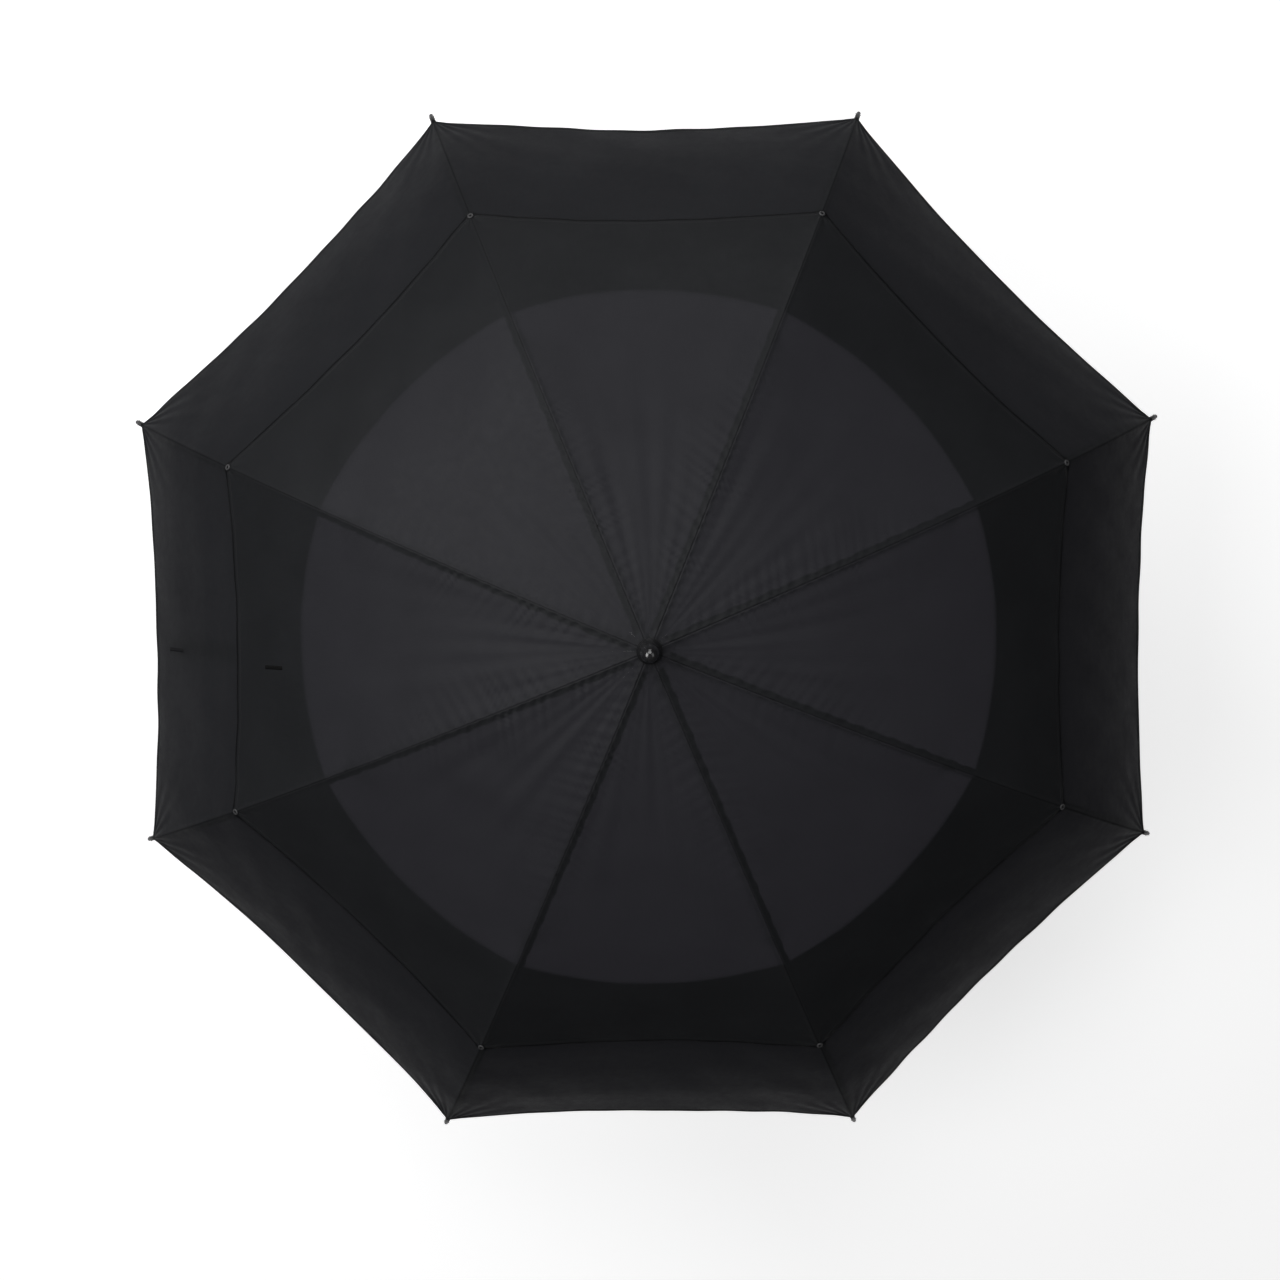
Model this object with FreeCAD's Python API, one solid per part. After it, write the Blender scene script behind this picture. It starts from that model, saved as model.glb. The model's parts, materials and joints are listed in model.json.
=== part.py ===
import FreeCAD, Part

import math
import os

from FreeCAD import Placement, Rotation, Vector

# A manual golf umbrella with a vented double canopy, open, handle down.
# Millimetres. The shaft runs along +Z, and the origin is the middle of the handle's bottom face.
# Everything that repeats is drawn once in the plane Y = 0, with X pointing away from the shaft,
# and is then turned about Z to each rib's azimuth.

# ---- driving dimensions -------------------------------------------------------------------

RIB_COUNT = 8
FIRST_RIB_AZIMUTH = 22.5
RIB_LENGTH = 745.0          # from the hinge to the rod's end, along the rod
START_SLOPE = 6.5           # degrees below level where the rib leaves the notch
END_SLOPE = 49.5            # degrees below level at the rod's end
ROD_RADIUS = 1.9
FOLD_ANGLE = 61.0           # how far each rib turns from open to closed

HINGE_RADIUS = 11.0         # of both hinge wires
NOTCH_HINGE_Z = 945.0
WIRE_RADIUS = 0.7
WIRE_CHANNEL = 1.1          # half the diagonal of the square channel that a wire lies in
EYE_HOLE_RADIUS = 0.85
EYE_RADIUS = 2.4
TONGUE_THICKNESS = 1.6
TONGUE_HEIGHT = 4.4
SLOT_WIDTH = 2.1
SLOT_INNER_RADIUS = 8.4
CROWN_RADIUS = 14.8
NOTCH_PIN_RADIUS = 1.2

CLIP_ALONG = 337.0          # of the stretcher joint, along the rib
CLIP_DROP = 5.5             # from the rod's axis down to the joint's rivet
CLIP_LENGTH = 14.0
CLIP_RADIUS = 3.2
EAR_THICKNESS = 2.6
EAR_RADIUS = 2.2
RIVET_RADIUS = 1.0

SHAFT_RADIUS = 7.0
SHAFT_BORE_RADIUS = 5.5
SHAFT_BOTTOM_Z = 30.0
SHAFT_TOP_Z = NOTCH_HINGE_Z + 32.0
FIT_GAP = 0.03              # between pieces that are pressed or glued together

GRIP_RADIUS = 16.0
GRIP_BOTTOM_Z = 14.0
GRIP_TOP_Z = 178.0
CORE_RADIUS = 10.5
COLLAR_RADIUS = 18.5
COLLAR_TOP_Z = 202.0

RUNNER_BORE_RADIUS = 7.25
RUNNER_SLEEVE_RADIUS = 10.3
RUNNER_SLEEVE_LENGTH = 66.0  # from the hinge wire down to the sleeve's lower edge

CLOTH = 0.6                 # thickness of a canopy layer
LOWER_CLOTH_OFFSET = 2.9    # from a rod's axis out to the lower canopy's outer face
UPPER_CLOTH_OFFSET = 4.4
CLOTH_END = 734.0           # where the lower canopy's corners end, along the rib
UPPER_END = 527.0           # where the upper canopy's corners end, along the rib
VENT_RADIUS = 366.0         # of the round hole in the lower canopy
LOWER_HEM_DIP = 9.0         # how far the hem curves in between two ribs
UPPER_HEM_DIP = 8.0
SEAM_GAP = 0.25             # from each strip's edge to the plane midway between two ribs

STRAP_WIDTH = 22.0
STRAP_THICKNESS = 1.2
STRAP_FROM_MIDDLE = 2.0     # from the middle of its panel to the strap's nearer edge
STRAP_SEAM_ALONG = 672.0    # where the strap is sewn on, along the rib
STRAP_LENGTH = 150.0
STRAP_CLEARANCE = 7.5       # from the lower canopy's outer face down to the strap

SPRING_WIDTH = 3.6
SPRING_THICKNESS = 0.8
SPRING_LEVER = 58.0         # from a catch spring's anchor to its shoulder
SPRING_PROUD = 3.6          # how far its shoulder stands out of the shaft

# ---- values that follow -------------------------------------------------------------------

UP = Vector(0, 0, 1)
ACROSS = Vector(0, 1, 0)
HALF_STEP = 180.0 / RIB_COUNT
BEND_RADIUS = RIB_LENGTH / math.radians(END_SLOPE - START_SLOPE)


def slope_at(along):
    """How far below level the rib points, in degrees, at a distance along it."""
    return START_SLOPE + math.degrees(along / BEND_RADIUS)


def rib_point(along, offset=0.0):
    """A point at a distance along the rib and an offset outward from the rod's axis."""
    start = math.radians(START_SLOPE)
    here = math.radians(slope_at(along))
    reach = BEND_RADIUS + offset
    x = HINGE_RADIUS - BEND_RADIUS * math.sin(start) + reach * math.sin(here)
    z = NOTCH_HINGE_Z - BEND_RADIUS * math.cos(start) + reach * math.cos(here)
    return Vector(x, 0, z)


def rib_direction(along):
    here = math.radians(slope_at(along))
    return Vector(math.cos(here), 0, -math.sin(here))


RIB_HINGE = Vector(HINGE_RADIUS, 0, NOTCH_HINGE_Z)
CLIP_JOINT = rib_point(CLIP_ALONG, -CLIP_DROP)
STRETCHER_LENGTH = (CLIP_JOINT - RIB_HINGE).Length
RUNNER_HINGE_Z = 2 * CLIP_JOINT.z - NOTCH_HINGE_Z
STRETCHER_RISE = math.degrees(math.asin((CLIP_JOINT.z - RUNNER_HINGE_Z) / STRETCHER_LENGTH))
CLOSED_RUNNER_Z = NOTCH_HINGE_Z - 2 * STRETCHER_LENGTH * math.sin(
    math.radians(STRETCHER_RISE + FOLD_ANGLE))
RUNNER_BOTTOM_Z = RUNNER_HINGE_Z - RUNNER_SLEEVE_LENGTH
TOP_CATCH_Z = RUNNER_BOTTOM_Z - 0.6
WINDOW_LOW, WINDOW_HIGH = -55.0, -34.0   # of the runner's catch window, from its hinge wire
BOTTOM_CATCH_Z = CLOSED_RUNNER_Z + WINDOW_LOW + 1.0

# ---- small helpers ------------------------------------------------------------------------


def rod(start, direction, radius, length):
    return Part.makeCylinder(radius, length, start, direction)


def cross_pin(centre, radius, width):
    """A cylinder along Y, centred on a point of the plane Y = 0."""
    return rod(centre - ACROSS * (width / 2), ACROSS, radius, width)


def plate(x_range, z_range, width):
    """A block centred on the plane Y = 0."""
    low = Vector(x_range[0], -width / 2, z_range[0])
    return Part.makeBox(x_range[1] - x_range[0], width, z_range[1] - z_range[0], low)


def turned(points):
    """A solid turned about X from its half outline, a list of (x, radius)."""
    outline = Part.makePolygon([Vector(x, 0, r) for x, r in points + points[:1]])
    return Part.Face(outline).revolve(Vector(), Vector(1, 0, 0), 360)


def chamfered_rod(start, length, radius, chamfer):
    """A cylinder along +X with a chamfer at each end."""
    end = start + length
    return turned([(start, 0), (start, radius - chamfer), (start + chamfer, radius),
                   (end - chamfer, radius), (end, radius - chamfer), (end, 0)])


def bent_rod(radius, start, end):
    """A round rod that follows the rib's bend between two distances along it."""
    section = Part.Face(Part.Wire(Part.makeCircle(radius, rib_point(start), rib_direction(start))))
    bend_centre = rib_point(0, -BEND_RADIUS)
    return section.revolve(bend_centre, ACROSS, slope_at(end) - slope_at(start))


def along_rib(shape, along):
    """Moves a shape drawn along +X at the origin to a place on the rib, pointing along it."""
    placed = shape.copy()
    placed.Placement = Placement(rib_point(along), Rotation(ACROSS, slope_at(along)))
    return placed


def revolve(points):
    """A solid turned about Z from its half outline, a list of (radius, z)."""
    outline = Part.makePolygon([Vector(r, 0, z) for r, z in points + points[:1]])
    return Part.Face(outline).revolve(Vector(), UP, 360)


def ring(major, minor, z, flats=8):
    """A wire bent into a level ring about the shaft, its round section drawn with flats."""
    angles = [2 * math.pi * (n + 0.5) / flats for n in range(flats)]
    return revolve([(major + minor * math.cos(a), z + minor * math.sin(a)) for a in angles])


def around(shape):
    """Copies of a shape, one at each rib's azimuth."""
    copies = []
    for number in range(RIB_COUNT):
        copy = shape.copy()
        copy.rotate(Vector(), UP, FIRST_RIB_AZIMUTH + number * 2 * HALF_STEP)
        copies.append(copy)
    return copies


def v_grooves(radius, heights, depth=0.8, half_width=1.0):
    """Outline points, going down, that cut V grooves into a sleeve of that radius."""
    points = []
    for z in heights:
        points += [(radius, z + half_width), (radius - depth, z), (radius, z - half_width)]
    return points


def save(name, *shapes):
    """Writes one node's solids to parts/NAME.step."""
    solids = [s for shape in shapes for s in shape.Solids]
    for solid in solids:
        if not solid.isValid() or solid.Volume <= 0:
            raise ValueError(f"{name} has a bad solid")
    together = solids[0] if len(solids) == 1 else Part.makeCompound(solids)
    together.exportStep(f"parts/{name}.step")
    volume = sum(solid.Volume for solid in solids)
    print(f"{name}: {len(solids)} solid(s), {volume:.0f} mm3")


# ---- the rib and what is fixed to it ------------------------------------------------------

ROD_START = 15.0            # the rod's inner end, along the rib
ROD_CLEARANCE = 0.07
SOCKET_START, SOCKET_END = 12.0, 28.0
SOCKET_RADIUS = 3.0


def rib_rod():
    """The fibreglass rod, bent to the open canopy's curve."""
    return bent_rod(ROD_RADIUS, ROD_START, RIB_LENGTH)


def rod_bore(start, end):
    """A straight hole for the rod in a short fitting, in line with the rod at the hole's middle."""
    half = (end - start) / 2
    bore = rod(Vector(-half, 0, 0), Vector(1, 0, 0), ROD_RADIUS + ROD_CLEARANCE, 2 * half)
    return along_rib(bore, start + half)


def rib_root():
    """The metal end that hinges on the notch's wire: a flat eye, a tongue and a socket."""
    eye = cross_pin(Vector(), EYE_RADIUS, TONGUE_THICKNESS)
    tongue = plate((0, SOCKET_START + 2), (-TONGUE_HEIGHT / 2, TONGUE_HEIGHT / 2), TONGUE_THICKNESS)
    socket = chamfered_rod(SOCKET_START, SOCKET_END - SOCKET_START, SOCKET_RADIUS, 0.8)
    root = eye.fuse([tongue, socket]).cut(cross_pin(Vector(), EYE_HOLE_RADIUS, TONGUE_THICKNESS * 2))
    root.Placement = Placement(RIB_HINGE, Rotation(ACROSS, slope_at(SOCKET_END / 3)))
    return root.cut(rod_bore(ROD_START - 0.1, SOCKET_END + 0.5))


def stretcher_clip():
    """The clip that is crimped on the rod and carries the stretcher's rivet on an ear below it."""
    half = CLIP_LENGTH / 2
    sleeve = chamfered_rod(-half, CLIP_LENGTH, CLIP_RADIUS, 0.7)
    ear = plate((-EAR_RADIUS, EAR_RADIUS), (-CLIP_DROP, -1), EAR_THICKNESS)
    ear_end = cross_pin(Vector(0, 0, -CLIP_DROP), EAR_RADIUS, EAR_THICKNESS)
    web = plate((-half + 2, half - 2), (-CLIP_RADIUS - 0.6, -1), EAR_THICKNESS - 0.8)
    hole = cross_pin(Vector(0, 0, -CLIP_DROP), RIVET_RADIUS + 0.06, EAR_THICKNESS * 2)
    clip = along_rib(sleeve.fuse([ear, ear_end, web]).cut(hole), CLIP_ALONG)
    return clip.cut(rod_bore(CLIP_ALONG - half - 0.5, CLIP_ALONG + half + 0.5))


TIP_RADIUS = 3.1
TIP_GRIP = 10.0             # how far the tip reaches back over the rod
TIP_LENGTH = 20.0
TIP_NOSE_RADIUS = 2.6


def rib_tip():
    """The plastic cap on the rod's end, which the canopy's corner is sewn to."""
    end = TIP_LENGTH - TIP_GRIP
    body = turned([
        (-TIP_GRIP, 0), (-TIP_GRIP, TIP_RADIUS), (0, TIP_RADIUS),
        (end, TIP_NOSE_RADIUS), (end + 2.6, TIP_NOSE_RADIUS - 1.4), (end + 2.6, 0)])
    thread_hole = cross_pin(Vector(end - 4, 0, 0), 0.8, TIP_RADIUS * 3)
    tip = along_rib(body.cut(thread_hole), RIB_LENGTH)
    return tip.cut(rod_bore(RIB_LENGTH - TIP_GRIP - 0.5, RIB_LENGTH + 0.1))


# ---- the stretcher ------------------------------------------------------------------------

CHANNEL_START = 14.0
CHANNEL_WALL = 0.6
FORK_GAP = EAR_THICKNESS + 0.4
CHANNEL_WIDTH = FORK_GAP + 2 * CHANNEL_WALL
CHANNEL_HALF_HEIGHT = 2.0
FORK_LENGTH = 6.0


def stretcher():
    """A steel channel, open below, with a flat eye at the runner and a fork at the rib."""
    full = STRETCHER_LENGTH
    blank = plate((CHANNEL_START, full), (-CHANNEL_HALF_HEIGHT, CHANNEL_HALF_HEIGHT), CHANNEL_WIDTH)
    fork_end = cross_pin(Vector(full, 0, 0), CHANNEL_HALF_HEIGHT, CHANNEL_WIDTH)
    hollow = plate((CHANNEL_START + 8, full + 5),
                   (-CHANNEL_HALF_HEIGHT - 1, CHANNEL_HALF_HEIGHT - CHANNEL_WALL), FORK_GAP)
    fork = plate((full - FORK_LENGTH, full + 5), (-5, 5), FORK_GAP)
    channel = blank.fuse(fork_end).cut(hollow).cut(fork)
    eye = cross_pin(Vector(), EYE_RADIUS, TONGUE_THICKNESS)
    tongue = plate((0, CHANNEL_START + 6), (-TONGUE_HEIGHT / 2 + 0.2, TONGUE_HEIGHT / 2 - 0.2),
                   TONGUE_THICKNESS)
    bar = channel.fuse([eye, tongue])
    bar = bar.cut(cross_pin(Vector(), EYE_HOLE_RADIUS, TONGUE_THICKNESS * 2))
    bar = bar.cut(cross_pin(Vector(full, 0, 0), RIVET_RADIUS + 0.02, CHANNEL_WIDTH * 2))
    return bar


def rivet():
    """The stretcher joint's rivet, with a head outside each side of the fork."""
    centre = Vector(STRETCHER_LENGTH, 0, 0)
    head_width = 0.7
    pin = cross_pin(centre, RIVET_RADIUS, CHANNEL_WIDTH + 2 * head_width)
    heads = []
    for side in (-1, 1):
        middle = centre + ACROSS * (side * (CHANNEL_WIDTH + head_width + 0.04) / 2)
        heads.append(cross_pin(middle, RIVET_RADIUS + 0.8, head_width))
    return pin.fuse(heads)


def on_stretcher_line(shape):
    """Moves a shape drawn along +X to run from the runner's wire up to the rib's clip."""
    placed = shape.copy()
    placed.Placement = Placement(Vector(HINGE_RADIUS, 0, RUNNER_HINGE_Z),
                                 Rotation(ACROSS, -STRETCHER_RISE))
    return placed


# ---- the canopy ---------------------------------------------------------------------------

def panel_profile(offset):
    """The canopy's outer edge as cut by the plane midway between two ribs: an arc of an ellipse.

    Cloth pulled between two ribs runs level from one to the other, so each panel is part of an
    elliptic cylinder, and this arc is its section.
    """
    half = math.radians(HALF_STEP)
    bend_centre = rib_point(0, -BEND_RADIUS)
    reach = BEND_RADIUS + offset
    centre = Vector(bend_centre.x * math.cos(half), 0, bend_centre.z)
    ellipse = Part.Ellipse(centre + UP * reach, centre + Vector(reach * math.cos(half), 0, 0), centre)
    angles = []
    for end in (rib_point(0, offset), rib_point(RIB_LENGTH, offset)):
        angles.append(ellipse.parameter(Vector(end.x * math.cos(half), 0, end.z)))
    return Part.ArcOfEllipse(ellipse, min(angles), max(angles)).toShape()


def cloth_slab(offset, thickness=CLOTH):
    """A panel's layer of cloth, uncut: its section drawn out level from the panel's middle."""
    outer = panel_profile(offset)
    inner = panel_profile(offset - thickness)
    ends = [Part.makeLine(outer.valueAt(outer.FirstParameter), inner.valueAt(inner.FirstParameter)),
            Part.makeLine(outer.valueAt(outer.LastParameter), inner.valueAt(inner.LastParameter))]
    section = Part.Face(Part.Wire(Part.__sortEdges__([outer, inner] + ends)))
    return section.extrude(ACROSS * -RIB_LENGTH)


def plan_outline(inner, outer, hem_dip):
    """Half a strip's outline seen from above, with X along the panel's middle.

    It runs out along the rib, along the hem's curve to the panel's middle, and back along that.
    """
    half = math.radians(HALF_STEP)
    rib_way = Vector(math.cos(half), -math.sin(half), 0)
    start, corner = rib_way * inner, rib_way * outer
    on_hem = Vector(corner.x - 0.75 * hem_dip, corner.y / 2, 0)
    hem_end = Vector(corner.x - hem_dip, -SEAM_GAP, 0)
    back = Vector(start.x, -SEAM_GAP, 0)
    edges = [Part.makeLine(start, corner), Part.Arc(corner, on_hem, hem_end).toShape(),
             Part.makeLine(hem_end, back), Part.makeLine(back, start)]
    return Part.Face(Part.Wire(edges))


def canopy_strip(inner, outer, offset, hem_dip):
    """The cloth that one rib carries: half a panel on each side of it, between two radii."""
    outline = plan_outline(inner, outer, hem_dip)
    half_strip = outline.extrude(UP * NOTCH_HINGE_Z * 2).common(cloth_slab(offset))
    half_strip.rotate(Vector(), UP, HALF_STEP)
    other_half = half_strip.mirror(Vector(), ACROSS)
    return half_strip.fuse(other_half).removeSplitter()


def upper_strip():
    end = rib_point(UPPER_END, UPPER_CLOTH_OFFSET).x
    return canopy_strip(HINGE_RADIUS + 1, end, UPPER_CLOTH_OFFSET, UPPER_HEM_DIP)


def lower_strip():
    """The lower canopy's strip, which starts at the round vent hole."""
    end = rib_point(CLOTH_END, LOWER_CLOTH_OFFSET).x
    strip = canopy_strip(VENT_RADIUS * 0.8, end, LOWER_CLOTH_OFFSET, LOWER_HEM_DIP)
    return strip.cut(Part.makeCylinder(VENT_RADIUS, NOTCH_HINGE_Z * 2))



def closing_strap():
    """The strap, lying under the lower canopy beside the middle of the panel that faces -X."""
    ends = (STRAP_SEAM_ALONG - STRAP_LENGTH, STRAP_SEAM_ALONG)
    near, far = [rib_point(along).x * math.cos(math.radians(HALF_STEP)) for along in ends]
    plan = Part.makeBox(far - near, STRAP_WIDTH, NOTCH_HINGE_Z,
                        Vector(near, -STRAP_FROM_MIDDLE - STRAP_WIDTH, 0))
    layer = cloth_slab(LOWER_CLOTH_OFFSET, STRAP_THICKNESS)
    layer.translate(UP * -STRAP_CLEARANCE)
    return layer.common(plan).mirror(Vector(), Vector(1, 0, 0))


# ---- the notch, the runner and their wires ------------------------------------------------


def crown_slots(z, low, high):
    """The eight slots and the wire's channel, to cut from a crown whose wire is at height z."""
    slot = plate((SLOT_INNER_RADIUS, CROWN_RADIUS + 5), (z + low, z + high), SLOT_WIDTH)
    return around(slot) + [ring(HINGE_RADIUS, WIRE_CHANNEL, z, flats=4)]


def notch():
    """The crown fixed to the shaft's top, with a slot for each rib and a pinned neck below."""
    z = NOTCH_HINGE_Z
    body = revolve([
        (SHAFT_RADIUS + FIT_GAP, z + 2.9), (CROWN_RADIUS - 1.2, z + 2.9), (CROWN_RADIUS, z + 1.9),
        (CROWN_RADIUS, z - 7.6), (CROWN_RADIUS - 1.4, z - 9), (SHAFT_RADIUS + 3, z - 9),
        (SHAFT_RADIUS + 2.6, z - 22), (SHAFT_RADIUS + 2, z - 22.8), (SHAFT_RADIUS + FIT_GAP, z - 22.8)])
    return body.cut(crown_slots(z, -12, 5) + [notch_pin(FIT_GAP)])


def notch_pin(gap=0.0):
    """The cross pin that holds the notch to the shaft, or with a gap the hole for it."""
    return cross_pin(Vector(0, 0, NOTCH_HINGE_Z - 16), NOTCH_PIN_RADIUS + gap, 2 * (SHAFT_RADIUS + 2.4 + 10 * gap))


def runner():
    """The sliding crown and its sleeve, with a flared lower edge to pull on and a catch window."""
    z = RUNNER_HINGE_Z
    bottom = RUNNER_BOTTOM_Z
    sleeve = RUNNER_SLEEVE_RADIUS
    body = revolve([
        (RUNNER_BORE_RADIUS, z + 9), (CROWN_RADIUS - 1.4, z + 9), (CROWN_RADIUS, z + 7.6),
        (CROWN_RADIUS, z - 5), (CROWN_RADIUS - 1.2, z - 6.5), (sleeve + 1.2, z - 8), (sleeve, z - 14),
        *v_grooves(sleeve, [z - 17.5 - 4 * n for n in range(4)]),
        (sleeve, bottom + 12), (sleeve + 2.4, bottom + 4), (sleeve + 2.4, bottom + 1),
        (sleeve + 1.4, bottom), (RUNNER_BORE_RADIUS, bottom)])
    floor = -EYE_RADIUS - 0.3
    window = Part.makeBox(CROWN_RADIUS, SPRING_WIDTH + 1.6, WINDOW_HIGH - WINDOW_LOW,
                          Vector(0, -SPRING_WIDTH / 2 - 0.8, z + WINDOW_LOW))
    return body.cut(crown_slots(z, floor, 12) + [window])


# ---- the shaft and its two catch springs --------------------------------------------------

WALL_X = SHAFT_BORE_RADIUS - SPRING_THICKNESS / 2 - 0.6   # of a spring's leg inside the bore
CATCHES = {"top_catch": (TOP_CATCH_Z, -1), "bottom_catch": (BOTTOM_CATCH_Z, 1)}   # height, way of the leg


def bent_strip(points):
    """A strip of spring steel along (x, z) points, rounded at each bend, across the plane Y = 0."""
    half = SPRING_THICKNESS / 2
    pieces = [cross_pin(Vector(x, 0, z), half, SPRING_WIDTH) for x, z in points]
    for (x0, z0), (x1, z1) in zip(points, points[1:]):
        length = math.hypot(x1 - x0, z1 - z0)
        leg = plate((0, length), (-half, half), SPRING_WIDTH)
        turn = math.degrees(math.atan2(z1 - z0, x1 - x0))
        leg.Placement = Placement(Vector(x0, 0, z0), Rotation(ACROSS, -turn))
        pieces.append(leg)
    return pieces[0].fuse(pieces[1:]).removeSplitter()


def catch_spring(shoulder_z, way):
    """A catch whose shoulder is at a height and whose leg runs from it up (1) or down (-1)."""
    nose = SHAFT_RADIUS + SPRING_PROUD - SPRING_THICKNESS / 2
    half = SPRING_THICKNESS / 2
    rivet_hole = rod(Vector(0, 0, shoulder_z + way * SPRING_LEVER), Vector(1, 0, 0), RIVET_RADIUS + 0.15,
                     SHAFT_RADIUS)
    spring = bent_strip([
        (WALL_X - 3.2, shoulder_z + way * half),
        (nose, shoulder_z + way * half),
        (nose, shoulder_z + way * 3),
        (WALL_X, shoulder_z + way * 24),
        (WALL_X, shoulder_z + way * (SPRING_LEVER + 3))])
    return spring.cut(rivet_hole)


def catch_slot(shoulder_z, way):
    """The slot that a catch spring comes out of."""
    ends = sorted([shoulder_z - way * 1.5, shoulder_z + way * 25])
    return Part.makeBox(SHAFT_RADIUS, SPRING_WIDTH + 0.8, ends[1] - ends[0],
                        Vector(2, -SPRING_WIDTH / 2 - 0.4, ends[0]))


def spring_rivet(shoulder_z, way):
    """The rivet that fixes a catch spring's end, flush outside so that the runner can pass it."""
    z = shoulder_z + way * SPRING_LEVER
    inner_face = WALL_X - SPRING_THICKNESS / 2 - 0.15
    shank = rod(Vector(inner_face - 0.4, 0, z), Vector(1, 0, 0), RIVET_RADIUS, SHAFT_RADIUS - inner_face)
    head = rod(Vector(inner_face - 0.8, 0, z), Vector(1, 0, 0), RIVET_RADIUS + 0.7, 0.8)
    return shank.fuse(head)


def shaft():
    """The tube, with a slot and a rivet hole for each catch spring and a hole for the notch's pin."""
    tube = rod(Vector(0, 0, SHAFT_BOTTOM_Z), UP, SHAFT_RADIUS, SHAFT_TOP_Z - SHAFT_BOTTOM_Z)
    tube = tube.cut(rod(Vector(0, 0, SHAFT_BOTTOM_Z - 1), UP, SHAFT_BORE_RADIUS, SHAFT_TOP_Z))
    cuts = [notch_pin(FIT_GAP)]
    for shoulder_z, way in CATCHES.values():
        cuts.append(catch_slot(shoulder_z, way))
        rivet_z = shoulder_z + way * SPRING_LEVER
        cuts.append(rod(Vector(0, 0, rivet_z), Vector(1, 0, 0), RIVET_RADIUS + FIT_GAP, 2 * SHAFT_RADIUS))
    return tube.cut(cuts)


# ---- the ferrule and the handle -----------------------------------------------------------


def ferrule():
    """The pointed cap that closes the shaft's top and clamps the canopy's centre."""
    z = NOTCH_HINGE_Z + 4.9
    body = revolve([
        (0, z), (12.2, z), (12.6, z + 0.5), (12.6, z + 2.4), (11.8, z + 3.4), (10.4, z + 5.6),
        (9.4, z + 11), (8.9, z + 30), (7.6, z + 46), (6.8, z + 50), (5.6, z + 52.8), (3.8, z + 54.5),
        (1.8, z + 55), (0, z + 55)])
    socket = rod(Vector(0, 0, z - 1), UP, SHAFT_RADIUS + FIT_GAP, SHAFT_TOP_Z - z + 1.05)
    return body.cut(socket)


def handle_core():
    """The moulded core inside the grip, with the collar that the rib tips close around."""
    return revolve([
        (SHAFT_RADIUS + FIT_GAP, 13), (CORE_RADIUS, 13), (CORE_RADIUS, GRIP_TOP_Z),
        (COLLAR_RADIUS - 1, GRIP_TOP_Z), (COLLAR_RADIUS, GRIP_TOP_Z + 1.2),
        (COLLAR_RADIUS, GRIP_TOP_Z + 5), (COLLAR_RADIUS - 0.7, GRIP_TOP_Z + 7.5),
        (COLLAR_RADIUS - 3, GRIP_TOP_Z + 11),
        (CORE_RADIUS + 1.5, COLLAR_TOP_Z - 5), (CORE_RADIUS - 0.5, COLLAR_TOP_Z),
        (SHAFT_RADIUS + FIT_GAP, COLLAR_TOP_Z)])


def grip():
    """The foam sleeve, a tube with its end edges eased in two steps."""
    low, high = GRIP_BOTTOM_Z + 0.1, GRIP_TOP_Z - 0.1
    return revolve([
        (CORE_RADIUS + 0.05, low), (GRIP_RADIUS - 2, low), (GRIP_RADIUS - 0.6, low + 0.6),
        (GRIP_RADIUS, low + 2), (GRIP_RADIUS, high - 2), (GRIP_RADIUS - 0.6, high - 0.6),
        (GRIP_RADIUS - 2, high), (CORE_RADIUS + 0.05, high)])


def end_cap():
    """The cap that plugs the handle's bottom end and has the flat face it stands on."""
    rim = GRIP_RADIUS - 0.6
    return revolve([
        (0, SHAFT_BOTTOM_Z - 0.2), (SHAFT_RADIUS - 1.1, SHAFT_BOTTOM_Z - 0.2),
        (SHAFT_RADIUS - 0.1, SHAFT_BOTTOM_Z - 1), (SHAFT_RADIUS - 0.1, 12.9),
        (CORE_RADIUS + 0.5, 12.9), (CORE_RADIUS + 0.5, GRIP_BOTTOM_Z), (rim - 1, GRIP_BOTTOM_Z),
        (rim, GRIP_BOTTOM_Z - 1), *v_grooves(rim, [9]), (rim, 4), (rim - 1, 1.6), (rim - 3.6, 0), (0, 0)])


# ---- write every node ---------------------------------------------------------------------


def main():
    os.makedirs("parts", exist_ok=True)

    save("shaft", shaft(), *[spring_rivet(*catch) for catch in CATCHES.values()])
    save("notch", notch(), notch_pin())
    save("notch_wire", ring(HINGE_RADIUS, WIRE_RADIUS, NOTCH_HINGE_Z))
    save("ferrule", ferrule())
    save("handle_core", handle_core())
    save("grip", grip())
    save("end_cap", end_cap())
    save("runner", runner())
    save("runner_wire", ring(HINGE_RADIUS, WIRE_RADIUS, RUNNER_HINGE_Z))
    for name, catch in CATCHES.items():
        save(name, catch_spring(*catch))
    save("closing_strap", closing_strap())

    for_each_rib = {
        "rib": [rib_rod()],
        "rib_fittings": [rib_root(), stretcher_clip()],
        "rib_tip": [rib_tip()],
        "stretcher": [on_stretcher_line(stretcher()), on_stretcher_line(rivet())],
        "upper_canopy": [upper_strip()],
        "lower_canopy": [lower_strip()],
    }
    for name, shapes in for_each_rib.items():
        placed = [around(shape) for shape in shapes]
        for number, at_one_rib in enumerate(zip(*placed), start=1):
            save(f"{name}_{number}", *at_one_rib)


main()
print(f"stretcher length {STRETCHER_LENGTH:.4f}, rise {STRETCHER_RISE:.4f} degrees")
print(f"runner wire at z {RUNNER_HINGE_Z:.4f} open and {CLOSED_RUNNER_Z:.4f} closed")
print(f"clip joint at x {CLIP_JOINT.x:.4f}, z {CLIP_JOINT.z:.4f}")
print(f"catch shoulders at z {TOP_CATCH_Z:.4f} and {BOTTOM_CATCH_Z:.4f}")
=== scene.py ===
import json
import math

import bpy
import numpy as np
from mathutils import Matrix, Vector

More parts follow.
